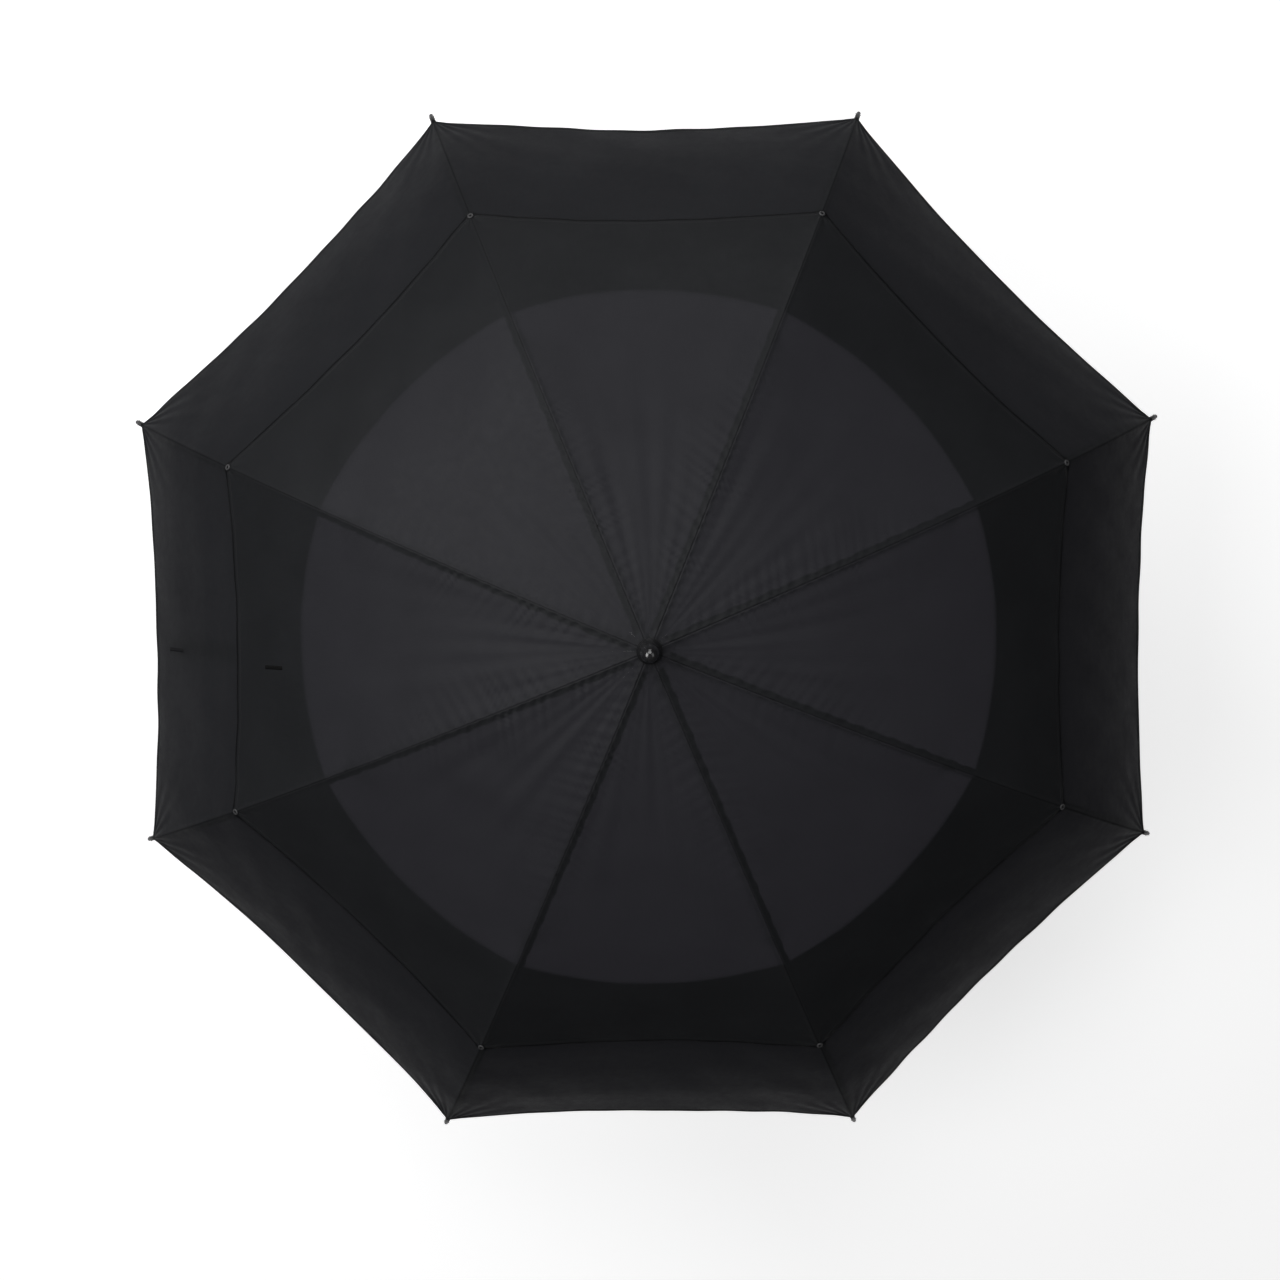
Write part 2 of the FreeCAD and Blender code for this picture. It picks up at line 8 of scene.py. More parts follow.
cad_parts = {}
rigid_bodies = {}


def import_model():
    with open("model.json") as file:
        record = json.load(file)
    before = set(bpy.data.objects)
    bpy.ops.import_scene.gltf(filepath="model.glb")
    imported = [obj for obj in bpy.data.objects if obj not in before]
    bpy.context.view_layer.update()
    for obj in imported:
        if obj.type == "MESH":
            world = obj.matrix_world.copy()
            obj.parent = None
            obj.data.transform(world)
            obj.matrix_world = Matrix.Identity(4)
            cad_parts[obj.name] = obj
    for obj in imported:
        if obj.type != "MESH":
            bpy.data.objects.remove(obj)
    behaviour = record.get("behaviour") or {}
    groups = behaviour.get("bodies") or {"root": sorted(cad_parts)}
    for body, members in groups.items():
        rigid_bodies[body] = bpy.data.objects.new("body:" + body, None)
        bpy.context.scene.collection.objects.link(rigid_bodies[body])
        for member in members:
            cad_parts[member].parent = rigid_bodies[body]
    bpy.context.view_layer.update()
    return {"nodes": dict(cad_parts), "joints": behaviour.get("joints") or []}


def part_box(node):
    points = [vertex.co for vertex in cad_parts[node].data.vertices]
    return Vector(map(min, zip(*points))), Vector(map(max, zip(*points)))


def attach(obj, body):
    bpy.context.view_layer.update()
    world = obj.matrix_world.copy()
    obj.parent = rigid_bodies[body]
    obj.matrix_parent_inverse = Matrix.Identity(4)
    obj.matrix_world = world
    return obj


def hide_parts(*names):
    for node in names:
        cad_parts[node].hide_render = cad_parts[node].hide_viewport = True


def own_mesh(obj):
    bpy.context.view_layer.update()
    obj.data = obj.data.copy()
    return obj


for leftover in list(bpy.data.objects):      # a default scene's cube, light and camera
    bpy.data.objects.remove(leftover)
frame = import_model()

# Metres and radians, in the frame of the CAD model: the shaft along +Z, the handle's bottom at
# the origin. Pieces that repeat are drawn for a rib that points along +X and turned to each rib.

# ---- the ribs' curve, as the CAD model has it ----

RIB_COUNT = 8
FIRST_RIB = math.radians(22.5)
STEP = 2 * math.pi / RIB_COUNT
HALF = STEP / 2
RIB_LENGTH = 0.745
START_SLOPE = math.radians(6.5)
END_SLOPE = math.radians(49.5)
BEND = RIB_LENGTH / (END_SLOPE - START_SLOPE)

fold_joint = next(j for j in frame["joints"] if j["name"] == "rib_1_fold")
HINGE_RADIUS = math.hypot(*fold_joint["pos_m"][:2])
HINGE_Z = fold_joint["pos_m"][2]
CENTRE_X = HINGE_RADIUS - BEND * math.sin(START_SLOPE)
CENTRE_Z = HINGE_Z - BEND * math.cos(START_SLOPE)

UPPER_OFFSET = 0.0044       # from a rib's axis out to the upper canopy's outer face
LOWER_OFFSET = 0.0029
UPPER_END = 0.527           # of each canopy's corners, along the rib
LOWER_END = 0.734
VENT_RADIUS = 0.366
UPPER_HEM_DIP = 0.008       # how far the hem curves in between two ribs
LOWER_HEM_DIP = 0.009
APEX_RADIUS = 0.0118        # where the ferrule clamps the upper canopy


def azimuth(number):
    """The direction of rib 1 to 8."""
    return FIRST_RIB + (number - 1) * STEP


def slope(along):
    """How far the rib has turned down from level there."""
    return START_SLOPE + along / BEND


def rib_x(along, offset):
    """How far from the shaft's axis a place on the rib is, a little outside the rib's own axis."""
    return CENTRE_X + (BEND + offset) * np.sin(slope(along))


def rib_z(along, offset):
    """The height of the same place."""
    return CENTRE_Z + (BEND + offset) * np.cos(slope(along))


def along_at(x, offset):
    """The distance along the rib at which it is x away from the shaft."""
    return BEND * (np.arcsin((x - CENTRE_X) / (BEND + offset)) - START_SLOPE)


def panel_half(along, offset):
    """From a rib's seam to the middle of the panel beside it."""
    return rib_x(along, offset) * math.sin(HALF)


def turned(points, angle):
    """Points turned about Z."""
    cos, sin = math.cos(angle), math.sin(angle)
    x, y, z = points[..., 0], points[..., 1], points[..., 2]
    return np.stack([x * cos - y * sin, x * sin + y * cos, z], axis=-1)


# ---- meshes ----


def new_object(name, mesh):
    """An object for a mesh, in the scene."""
    obj = bpy.data.objects.new(name, mesh)
    bpy.context.scene.collection.objects.link(obj)
    return obj


def mesh_from(name, points, faces):
    """A smooth-shaded mesh."""
    mesh = bpy.data.meshes.new(name)
    mesh.from_pydata(points.tolist() if hasattr(points, "tolist") else points, [], faces)
    mesh.update()
    mesh.polygons.foreach_set("use_smooth", [True] * len(mesh.polygons))
    return mesh


def grid_faces(rows, columns, closed=False):
    """Quads of a grid; closed joins the last column to the first."""
    index = np.arange(rows * columns).reshape(rows, columns)
    if closed:
        index = np.concatenate([index, index[:, :1]], axis=1)
    a, b, c, d = index[:-1, :-1], index[1:, :-1], index[1:, 1:], index[:-1, 1:]
    return np.stack([a, b, c, d], axis=-1).reshape(-1, 4)


def set_float(mesh, name, values):
    """A number at each vertex, for a material to read."""
    attribute = mesh.attributes.new(name, "FLOAT", "POINT")
    attribute.data.foreach_set("value", np.asarray(values, np.float32).ravel())


def waves(points, wavelength, count, seed):
    """Smooth noise of about that wavelength, from some plane waves, mostly between -1 and 1."""
    rng = np.random.default_rng(seed)
    ways = rng.normal(size=(count, points.shape[-1]))
    ways /= np.linalg.norm(ways, axis=1)[:, None]
    steps = 2 * math.pi / wavelength * rng.uniform(0.7, 1.4, count)
    phases = rng.uniform(0, 2 * math.pi, count)
    total = sum(np.sin(points @ (way * step) + phase)
                for way, step, phase in zip(ways, steps, phases))
    return total * math.sqrt(2 / count) / 1.6


# ---- the canopies ----

# Each canopy is one sewn sheet of eight panels. It is made as eight strips, each from midway of
# one panel over the rib to midway of the next, so that each strip rides on its rib.

# The rows of the mesh that follow a hem, as distances in from its edge, and the folded hem's own.
HEM_ROWS = np.array([15, 12, 10, 9, 8.2, 7.5, 6.9, 6.3, 5.5, 4.3, 3, 1.8, 0.9, 0.3, 0]) / 1000
HEM_FOLD = [(-0.00025, 0.0003), (0.0001, 0.0007), (0.0010, 0.00085), (0.0025, 0.0008),
            (0.0045, 0.0007), (0.0062, 0.0006), (0.0078, 0.0006)]    # (in from the edge, below)
HEM_STITCHES = 0.0064       # in from the edge
HEM_DOUBLED = 0.0060        # how far in the step of the doubled cloth is
STITCH_LINE = 0.0007        # half the width of the line they sink into

UPPER = {"name": "upper", "offset": UPPER_OFFSET, "end": UPPER_END, "dip": UPPER_HEM_DIP,
         "sag": 0.0030, "rows": 118, "vent": False}
LOWER = {"name": "lower", "offset": LOWER_OFFSET, "end": LOWER_END, "dip": LOWER_HEM_DIP,
         "sag": 0.0062, "rows": 76, "vent": True}
COLUMNS = 64                # on each side of the rib
CROWDING = 1.55             # how much closer together the columns are beside the seam

# The cloth's relief, as heights out of the taut sheet.
BILLOW = 0.0008             # slow waves over a panel
COCKLE = 0.00035            # smaller unevenness, none near the ferrule
APEX_FOLD = 0.00024         # fine folds that fan out from the ferrule
APEX_FOLDS = ((19, 5.0), (27, -7.0), (38, 9.0), (53, -12.0))     # (how many around, how they lean)
PUCKER = 0.00060            # short gathers that the seam's thread pulls, leaning down the panel
PUCKER_PITCH = 0.0125
SEAM_RIDGE, SEAM_RIDGE_WIDTH = 0.0006, 0.0032
SEAM_GROOVE, SEAM_GROOVE_WIDTH = 0.0005, 0.0009
VENTED_CREASE = 0.0006      # creases at the lower canopy's corners, over the rib's tip
BUTTON_CREASE = 0.0007      # and at the upper canopy's, around the button
FLUTTER = 0.0003            # waves of the free edge
STITCH_SUNK, STITCH_RIPPLE, RIPPLE_PITCH = 0.00022, 0.00014, 0.0085
HEM_STEP = 0.00012          # the doubled cloth stands higher than the rest


def bell(value, centre, width):
    """A smooth hump of height 1."""
    return np.exp(-((value - centre) / width) ** 2)


def smooth_step(value, low, high):
    """From 0 at low to 1 at high, level at both."""
    t = np.clip((value - low) / (high - low), 0, 1)
    return t * t * (3 - 2 * t)


def hem_along(canopy, across):
    """Where the hem is along the rib's curve, at a share of the way to the panel's middle."""
    corner = rib_x(canopy["end"], canopy["offset"])
    curve = 1 - (1 - np.abs(across)) ** 2
    return along_at(corner - canopy["dip"] / math.cos(HALF) * curve, canopy["offset"])


def inner_along(canopy, across):
    """Where the sheet begins: at the vent's round edge, or under the ferrule."""
    plan = np.hypot(1 - np.abs(across) * math.sin(HALF) ** 2,
                    across * math.cos(HALF) * math.sin(HALF))
    start = (VENT_RADIUS if canopy["vent"] else APEX_RADIUS) / plan
    return along_at(start, canopy["offset"])


def flat_point(canopy, along, across, depth):
    """The point of a taut sheet and the outward direction there, for the rib along +X."""
    side = np.where(across < 0, -1.0, 1.0)
    t = np.abs(across)
    x, z = rib_x(along, canopy["offset"]), rib_z(along, canopy["offset"])
    down = slope(along)
    sideways = side * t * x * math.cos(HALF) * math.sin(HALF)
    base = np.stack([x * (1 - t * math.sin(HALF) ** 2), sideways, z], axis=-1)
    zero = np.zeros_like(x)
    level = np.stack([np.cos(HALF) * np.ones_like(x), side * math.sin(HALF), zero], axis=-1)
    panel = level * np.sin(down)[..., None]
    panel[..., 2] = math.cos(HALF) * np.cos(down)
    panel /= np.linalg.norm(panel, axis=-1, keepdims=True)
    at_rib = np.stack([np.sin(down), zero, np.cos(down)], axis=-1)
    share = smooth_step(t * x * math.sin(HALF), 0.0, 0.02)[..., None]
    out = at_rib * (1 - share) + panel * share
    out /= np.linalg.norm(out, axis=-1, keepdims=True)
    return base - out * depth[..., None], out


def apex_folds(turn, along, x, beside):
    """Fine folds that fan out from the ferrule."""
    folds = sum(np.sin(n * turn + n * n * 0.7 + along * sway) for n, sway in APEX_FOLDS)
    fading = bell(along, 0.17, 0.13) * smooth_step(x, 0.012, 0.06)
    return APEX_FOLD * folds * fading * smooth_step(beside, 0, 0.02)


def seam_puckers(turn, along, across, beside):
    """Gathers beside the seam, strongest near the ferrule and gone at the panel's middle."""
    rib = np.floor((turn - FIRST_RIB) / STEP + 0.5)
    lean = np.where(across < 0, 0.55, 0.7)
    path = along - beside * lean
    jitter = 0.35 * np.sin(path * 61 + rib * 2.1) + 0.25 * np.sin(path * 149 + rib * 0.7)
    phase = np.where(across < 0, 1.3, 0.0)
    pucker = np.sin(2 * math.pi * path / PUCKER_PITCH + jitter * 4 + phase)
    strength = 0.25 + 0.75 * bell(along, 0.12, 0.16)
    reach = 0.010 + 0.022 * bell(along, 0.15, 0.14)
    near_rib = np.exp(-beside / reach) * smooth_step(beside, 0.0, 0.004)
    near_rib = near_rib * (1 - smooth_step(np.abs(across), 0.5, 1.0))
    return PUCKER * pucker * strength * near_rib


def corner_creases(canopy, along, beside):
    """Creases that run out from where a corner is held."""
    if canopy["vent"]:
        inward = canopy["end"] - along
        corner = np.hypot(beside, inward)
        angle = np.arctan2(beside, np.maximum(inward, 1e-4))
        fading = np.exp(-corner / 0.05)
        return VENTED_CREASE * np.sin(angle * 16) * fading * smooth_step(corner, 0.004, 0.02)
    inward = canopy["end"] - 0.006 - along
    corner = np.hypot(beside, inward)
    angle = np.arctan2(beside, inward)
    fading = np.exp(-corner / 0.018)
    return BUTTON_CREASE * np.cos(angle * 5) * fading * smooth_step(corner, 0.001, 0.006)


def stitched_line(beside, from_hem):
    """How far the line of the hem's stitches sinks in, unevenly."""
    ripple = 0.5 + 0.5 * np.sin(beside * 2 * math.pi / RIPPLE_PITCH)
    return (STITCH_SUNK + STITCH_RIPPLE * ripple) * bell(from_hem, HEM_STITCHES, STITCH_LINE)


def relief(canopy, world, along, across, from_hem):
    """How far the cloth stands out of the taut sheet."""
    t = np.abs(across)
    x = rib_x(along, canopy["offset"])
    beside = t * x * math.sin(HALF)
    outer = rib_x(canopy["end"], canopy["offset"])
    turn = np.arctan2(world[..., 1], world[..., 0])

    height = -canopy["sag"] * np.clip(x / outer, 0, 1) * (2 * t - t * t)
    height += BILLOW * waves(world, 0.21, 7, 11)
    height += COCKLE * waves(world, 0.07, 8, 12) * smooth_step(x, 0.02, 0.12)
    height += apex_folds(turn, along, x, beside)
    height += seam_puckers(turn, along, across, beside)
    ridge = SEAM_RIDGE * np.exp(-(beside / SEAM_RIDGE_WIDTH) ** 2)
    height += ridge - SEAM_GROOVE * np.exp(-(beside / SEAM_GROOVE_WIDTH) ** 2)
    height += corner_creases(canopy, along, beside)
    height += FLUTTER * waves(world, 0.055, 6, 21) * np.exp(-np.maximum(from_hem, 0) / 0.02)
    height -= stitched_line(beside, from_hem)
    height += HEM_STEP * (from_hem < HEM_DOUBLED) * (from_hem > -0.001)
    return height


def sheet_rows(canopy):
    """The rows of the grid, from the shaft outward: (kind, value, depth below the face).

    The value is a distance from the inner or outer edge, or for the body a share between them.
    """
    rows = []
    if canopy["vent"]:
        rows += [("inner", step, depth) for step, depth in reversed(HEM_FOLD)]
        rows += [("inner", step, 0.0) for step in HEM_ROWS[::-1]]
    count = canopy["rows"]
    rows += [("body", n / count, 0.0) for n in range(1 if canopy["vent"] else 0, count)]
    rows += [("outer", step, 0.0) for step in HEM_ROWS]
    rows += [("outer", step, depth) for step, depth in HEM_FOLD]
    return rows


def across_columns():
    """Shares from -1 to 1, closer together beside the seam."""
    share = np.linspace(0, 1, COLUMNS + 1) ** CROWDING
    return np.concatenate([-share[:0:-1], share])


def sheet_grid(canopy, number, columns):
    """Points of a strip at some columns, in world coordinates, with what each vertex carries."""
    rows = sheet_rows(canopy)
    start, end = inner_along(canopy, columns), hem_along(canopy, columns)
    along = np.zeros((len(rows), len(columns)))
    depth = np.zeros_like(along)
    margin = HEM_ROWS[0]
    for n, (kind, value, below) in enumerate(rows):
        if kind == "inner":
            along[n] = start + value
        elif kind == "outer":
            along[n] = end - value
        else:
            low = start + (margin if canopy["vent"] else 0.0)
            along[n] = low + (end - margin - low) * value
        depth[n] = below
    across = np.broadcast_to(columns, along.shape)
    from_hem = end[None, :] - along
    if canopy["vent"]:
        from_hem = np.minimum(from_hem, along - start[None, :])
    base, out = flat_point(canopy, along, across, depth)
    angle = azimuth(number)
    base, out = turned(base, angle), turned(out, angle)
    at_face = base + out * depth[..., None]
    height = relief(canopy, at_face, along, across, from_hem)
    return base + out * height[..., None], along, across, from_hem


def strip(canopy, number):
    """One rib's strip of a canopy, with its hems folded under."""
    columns = across_columns()
    points, along, across, from_hem = sheet_grid(canopy, number, columns)
    rows, count = along.shape

    # The normals at the strip's sides take in the next strips' first points, so no join shows.
    edge = columns[-1] - columns[-2]
    after, *_ = sheet_grid(canopy, number % RIB_COUNT + 1, np.array([-1 + edge]))
    before, *_ = sheet_grid(canopy, (number - 2) % RIB_COUNT + 1, np.array([1 - edge]))
    wide = np.concatenate([before, points, after], axis=1)
    sideways = wide[:, 2:] - wide[:, :-2]
    lengthways = np.gradient(points, axis=0)
    normals = np.cross(lengthways, sideways)
    normals /= np.linalg.norm(normals, axis=-1, keepdims=True)

    name = f"{canopy['name']}_sheet_{number}"
    mesh = mesh_from(name, points.reshape(-1, 3), grid_faces(rows, count).tolist())
    mesh.normals_split_custom_set_from_vertices(normals.reshape(-1, 3).tolist())

    x = rib_x(along, canopy["offset"])
    to_middle = (1 - np.abs(across)) * x * math.sin(HALF)
    set_float(mesh, "from_hem", from_hem)
    set_float(mesh, "from_seam", np.abs(across) * x * math.sin(HALF))
    set_cut(mesh, np.where(across < 0, to_middle, -to_middle), along)
    return new_object(name, mesh)


def set_cut(mesh, u, v):
    """Each point's place on the flat panel it was cut from, in metres, as a UV map."""
    corners = np.zeros(len(mesh.loops), np.int32)
    mesh.loops.foreach_get("vertex_index", corners)
    pair = np.stack([u.ravel()[corners], v.ravel()[corners]], axis=-1)
    layer = mesh.uv_layers.new(name="cut")
    layer.data.foreach_set("uv", pair.astype(np.float32).ravel())


def place(canopy, number, along, beside, below):
    """Points on a canopy by the distance along a rib and beside it, and how far below its face."""
    along, beside = np.broadcast_arrays(np.asarray(along, float), np.asarray(beside, float))
    across = beside / panel_half(along, canopy["offset"])
    base, out = flat_point(canopy, along, across, np.zeros_like(along))
    base, out = turned(base, azimuth(number)), turned(out, azimuth(number))
    from_hem = hem_along(canopy, across) - along
    height = relief(canopy, base, along, across, from_hem) - below
    return base + out * height[..., None]


def fold_with_cloth(obj, number):
    """The piece rides on its rib, with its own copy of its mesh."""
    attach(obj, f"rib_{number}_body")
    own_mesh(obj)


THREAD = 0.00022            # a sewing thread's radius
THREAD_SIDE = (0.13, 0.21, 0.97)    # a direction that no thread runs in


def tube_mesh(name, path, radius, sides=6, closed=False):
    """A round thread along a path of points."""
    path = np.asarray(path, float)
    if closed:
        ahead, behind = np.roll(path, -1, axis=0), np.roll(path, 1, axis=0)
        forward = ahead - behind
    else:
        forward = np.gradient(path, axis=0)
    forward /= np.linalg.norm(forward, axis=1)[:, None]
    side = np.cross(forward, THREAD_SIDE)
    side /= np.linalg.norm(side, axis=1)[:, None]
    other = np.cross(forward, side)
    turns = np.arange(sides) * 2 * math.pi / sides
    turns = turns[None, :, None]
    ring = np.cos(turns) * side[:, None] + np.sin(turns) * other[:, None]
    points = path[:, None] + radius * ring
    rows = len(path)
    faces = grid_faces(rows, sides, closed=True).tolist()
    if closed:
        last, first = (rows - 1) * sides, 0
        faces += [[last + n, first + n, first + (n + 1) % sides, last + (n + 1) % sides]
                  for n in range(sides)]
    else:
        faces += [list(range(sides))[::-1], [(rows - 1) * sides + n for n in range(sides)]]
    return mesh_from(name, points.reshape(-1, 3), faces)


def joined(name, meshes):
    """One mesh of several."""
    points, faces = [], []
    for mesh in meshes:
        first = len(points)
        points += [tuple(v.co) for v in mesh.vertices]
        faces += [[first + n for n in face.vertices] for face in mesh.polygons]
        bpy.data.meshes.remove(mesh)
    return mesh_from(name, points, faces)


def lathe_mesh(name, profile, segments):
    """A mesh turned about Z from (radius, z) points; a radius of 0 closes an end."""
    turns = np.arange(segments) * 2 * math.pi / segments
    profile = np.asarray(profile, float)
    radius, z = profile[:, :1], profile[:, 1:]
    heights = np.broadcast_to(z, (len(profile), segments))
    points = np.stack([radius * np.cos(turns), radius * np.sin(turns), heights], axis=-1)
    faces = grid_faces(len(profile), segments, closed=True).tolist()
    return mesh_from(name, points.reshape(-1, 3), faces)


SEAM_WIDE = 0.0074          # the sewn edges' width under the cloth
SEAM_COLUMNS = np.array([0.0004, 0.0015, 0.0032, 0.0050, 0.0066, SEAM_WIDE])


def seam_allowance(canopy, number):
    """The sewn edges of two panels, folded to one side under the seam."""
    start = float(inner_along(canopy, np.array([0.0]))[0]) + 0.010
    along = np.linspace(start, canopy["end"] - 0.009, 150)[:, None]
    beside = SEAM_COLUMNS[None, :]
    sway = 0.0005 * np.sin(along * 310 + number) + 0.0004 * np.sin(along * 171)
    below = 0.00045 + 0.00012 * np.sin(along * 420 + beside * 900) + beside * 0.02
    points = place(canopy, number, along, beside + sway * (beside > 0.003), below)
    shape = points.shape[:2]
    mesh = mesh_from(f"{canopy['name']}_seam_{number}", points.reshape(-1, 3),
                     grid_faces(*shape).tolist())
    set_float(mesh, "from_edge", np.broadcast_to(SEAM_WIDE - beside, shape))
    set_float(mesh, "lengthways", np.broadcast_to(along, shape))
    return new_object(mesh.name, mesh)


def rib_frame(number, along, offset=0.0):
    """A matrix at a place on the rib: X along it, Y across, Z outward."""
    here = Vector((float(rib_x(along, offset)), 0, float(rib_z(along, offset))))
    turn = Matrix.Rotation(azimuth(number), 4, "Z")
    return turn @ Matrix.Translation(here) @ Matrix.Rotation(slope(along), 4, "Y")


def helix(turns, pitch, wide, low, high, steps=18):
    """Points of a thread wound about the X axis, around an oval."""
    count = int(turns * steps) + 1
    angle = np.linspace(0, 2 * math.pi * turns, count)
    middle, half = (low + high) / 2, (high - low) / 2
    x = pitch * (angle / (2 * math.pi) - turns / 2)
    return np.stack([x, wide * np.sin(angle), middle + half * np.cos(angle)], axis=-1)


def wound_thread(name, turns, high):
    """Thread wound around a rib, up to a height above its axis."""
    path = helix(turns, 2.1 * THREAD, 0.0021 + THREAD, -0.0019 - THREAD, high)
    return tube_mesh(name, path, THREAD)


# The ties on each rib: (along it, up to), where the cloth or the seam's edge lies.
TIES = [(0.120, 0.0038), (0.245, 0.0038), (0.345, 0.0038), (0.450, 0.0024), (0.640, 0.0024)]


def rib_ties(number):
    """Thread wound around the rib and the seam, which keeps the canopy on it."""
    meshes = []
    for along, high in TIES:
        mesh = wound_thread("tie", 4, high)
        mesh.transform(rib_frame(number, along))
        meshes.append(mesh)
    mesh = joined(f"rib_ties_{number}", meshes)
    return new_object(mesh.name, mesh)


def tip_loop(spread):
    """A loop of thread around the rib's tip: through its hole, and up over the canopy's corner."""
    path = np.array([
        (-0.0140, -spread, 0.0024), (-0.0135, 0, 0.0027), (-0.0125, spread, 0.0029),
        (-0.0085, spread, 0.0036), (-0.002, 0.0022, 0.0031), (0.0045, 0.0033, 0.0012),
        (0.0060, 0.0033, 0.0), (0.0060, 0, 0.0), (0.0060, -0.0033, 0.0),
        (0.0045, -0.0033, 0.0012), (-0.002, -0.0022, 0.0031), (-0.0085, -spread, 0.0036)])
    rounded = []
    for n in range(len(path)):
        before, here, after = path[n - 1], path[n], path[(n + 1) % len(path)]
        rounded += [(before + 5 * here) / 6, here * 0.86 + (before + after) * 0.07,
                    (after + 5 * here) / 6]
    return rounded


def tip_thread(number):
    """Thread from the hole in the rib's tip to the canopy's corner and back."""
    meshes = []
    for spread in (0.0011, 0.0019):
        mesh = tube_mesh("thread", tip_loop(spread), THREAD, closed=True)
        mesh.transform(rib_frame(number, RIB_LENGTH))
        meshes.append(mesh)
    mesh = joined(f"tip_thread_{number}", meshes)
    return new_object(mesh.name, mesh)


BUTTON_ALONG = UPPER_END - 0.0065
BUTTON_SUNK = 0.00055       # into the cloth, so that the button presses it down
BUTTON_PROFILE = [(0.0012, 0.0002), (0.0013, 0.0007), (0.0016, 0.00105), (0.0021, 0.00125),
                  (0.0027, 0.0012), (0.0032, 0.0009), (0.0034, 0.0005), (0.0034, 0.0),
                  (0.0030, -0.0003), (0.0012, -0.0003)]      # (radius, height)
BAR_HALF = 0.0019           # half the length of the thread over the button's hole
BAR_ARCH = 0.0011


def button_bars(frame_there):
    """Three strands of thread over the button's hole."""
    bars = []
    for y in (-0.0005, 0.0, 0.0005):
        x = np.linspace(-BAR_HALF, BAR_HALF, 9)
        arch = BAR_ARCH * (1 - (x / BAR_HALF) ** 2) + 0.0003
        bar = tube_mesh("bar", np.stack([x, np.full(9, y), arch], axis=-1), THREAD)
        bar.transform(frame_there)
        bars.append(bar)
    return bars


def corner_button(number):
    """The small eyelet button that holds the upper canopy's corner to the rib, with its thread."""
    points = place(UPPER, number, [BUTTON_ALONG], [0.0], [-BUTTON_SUNK])
    frame_there = rib_frame(number, BUTTON_ALONG, UPPER_OFFSET)
    frame_there.translation = Vector(points[0])
    eyelet = lathe_mesh("eyelet", BUTTON_PROFILE + BUTTON_PROFILE[:1], 40)
    eyelet.transform(frame_there)
    eyelet_object = new_object(f"corner_eyelet_{number}", eyelet)
    knot = wound_thread("knot", 5, UPPER_OFFSET - 0.0008)
    knot.transform(rib_frame(number, BUTTON_ALONG))
    mesh = joined(f"corner_thread_{number}", button_bars(frame_there) + [knot])
    return eyelet_object, new_object(mesh.name, mesh)


TACK_PITCH = 0.00042        # of its zigzag
TACK_THREAD = 0.00030       # the thread's radius
TACK_PROUD = 0.00022        # above the cloth's face at the zigzag's ends


def bar_tack(name, canopy, number, along, from_middle, length, width=0.0036):
    """A close zigzag of thread sewn through the cloth, in line with the panel's middle."""
    count = int(length / TACK_PITCH)
    step = np.arange(count * 4 + 1)
    x = along - length / 2 + length * step / (count * 4)
    zigzag = np.abs((step % 4) - 2) - 1
    beside = from_middle + width / 2 * zigzag - panel_half(x, canopy["offset"])
    proud = TACK_PROUD + 0.00012 * (1 - np.abs(zigzag))
    points = place(canopy, number, x, beside, -proud)
    mesh = tube_mesh(name, points, TACK_THREAD, sides=5)
    return new_object(name, mesh)


STRAP_RIB = 5               # its panel lies midway between the ribs at azimuths 157.5 and 202.5
STRAP_OUTER, STRAP_INNER = 0.680, 0.524      # along the rib
STRAP_NEAR, STRAP_FAR = 0.002, 0.024         # from the panel's middle
STRAP_THICK = 0.0011
STRAP_CLEAR = 0.0012        # below the cloth's face where it is sewn on
STRAP_HANG = 0.0035         # how much lower its free part hangs
STRAP_WAVE, STRAP_SWAY, STRAP_CUP = 0.0008, 0.0006, 0.0007   # along it, sideways, across it
STRAP_END_THIN = 0.45       # of its thickness, at its rounded ends
PATCH_FROM, PATCH_TO = 0.004, 0.034          # from the strap's free end
PATCH_ROWS, PATCH_COLUMNS = 34, 24
PATCH_PROUD = 0.0009


def strap_surface(along, from_middle, below):
    """Points under the lower canopy, by the distance from the middle of the strap's panel."""
    beside = from_middle - panel_half(along, LOWER_OFFSET)
    return place(LOWER, STRAP_RIB, along, beside, below)


def strap_share(along):
    """From 0 at the strap's sewn end to 1 at its free one."""
    return (STRAP_OUTER - along) / (STRAP_OUTER - STRAP_INNER)


def strap_drop(share):
    """How far below the cloth's face the strap hangs."""
    hang = STRAP_HANG * smooth_step(share, 0.05, 0.5)
    return STRAP_CLEAR + hang + STRAP_WAVE * np.sin(share * 7.0)


def strap_width(across, share):
    """The distance from the panel's middle, at shares of the width and of the length."""
    width = STRAP_NEAR + (STRAP_FAR - STRAP_NEAR) * across
    return width[None, :] + STRAP_SWAY * np.sin(share * 9.0)[:, None]


def strap_section():
    """The outline of the folded strap across its width: (share of the width, below its top face)."""
    edge = [(0.0, 0.5), (0.008, 0.2), (0.03, 0.03), (0.06, 0.0)]
    top = edge + [(x, 0.0) for x in np.linspace(0.10, 0.90, 15)] + [(1 - x, y) for x, y in edge[::-1]]
    return np.array(top + [(x, 1 - y) for x, y in top[-2:0:-1]])


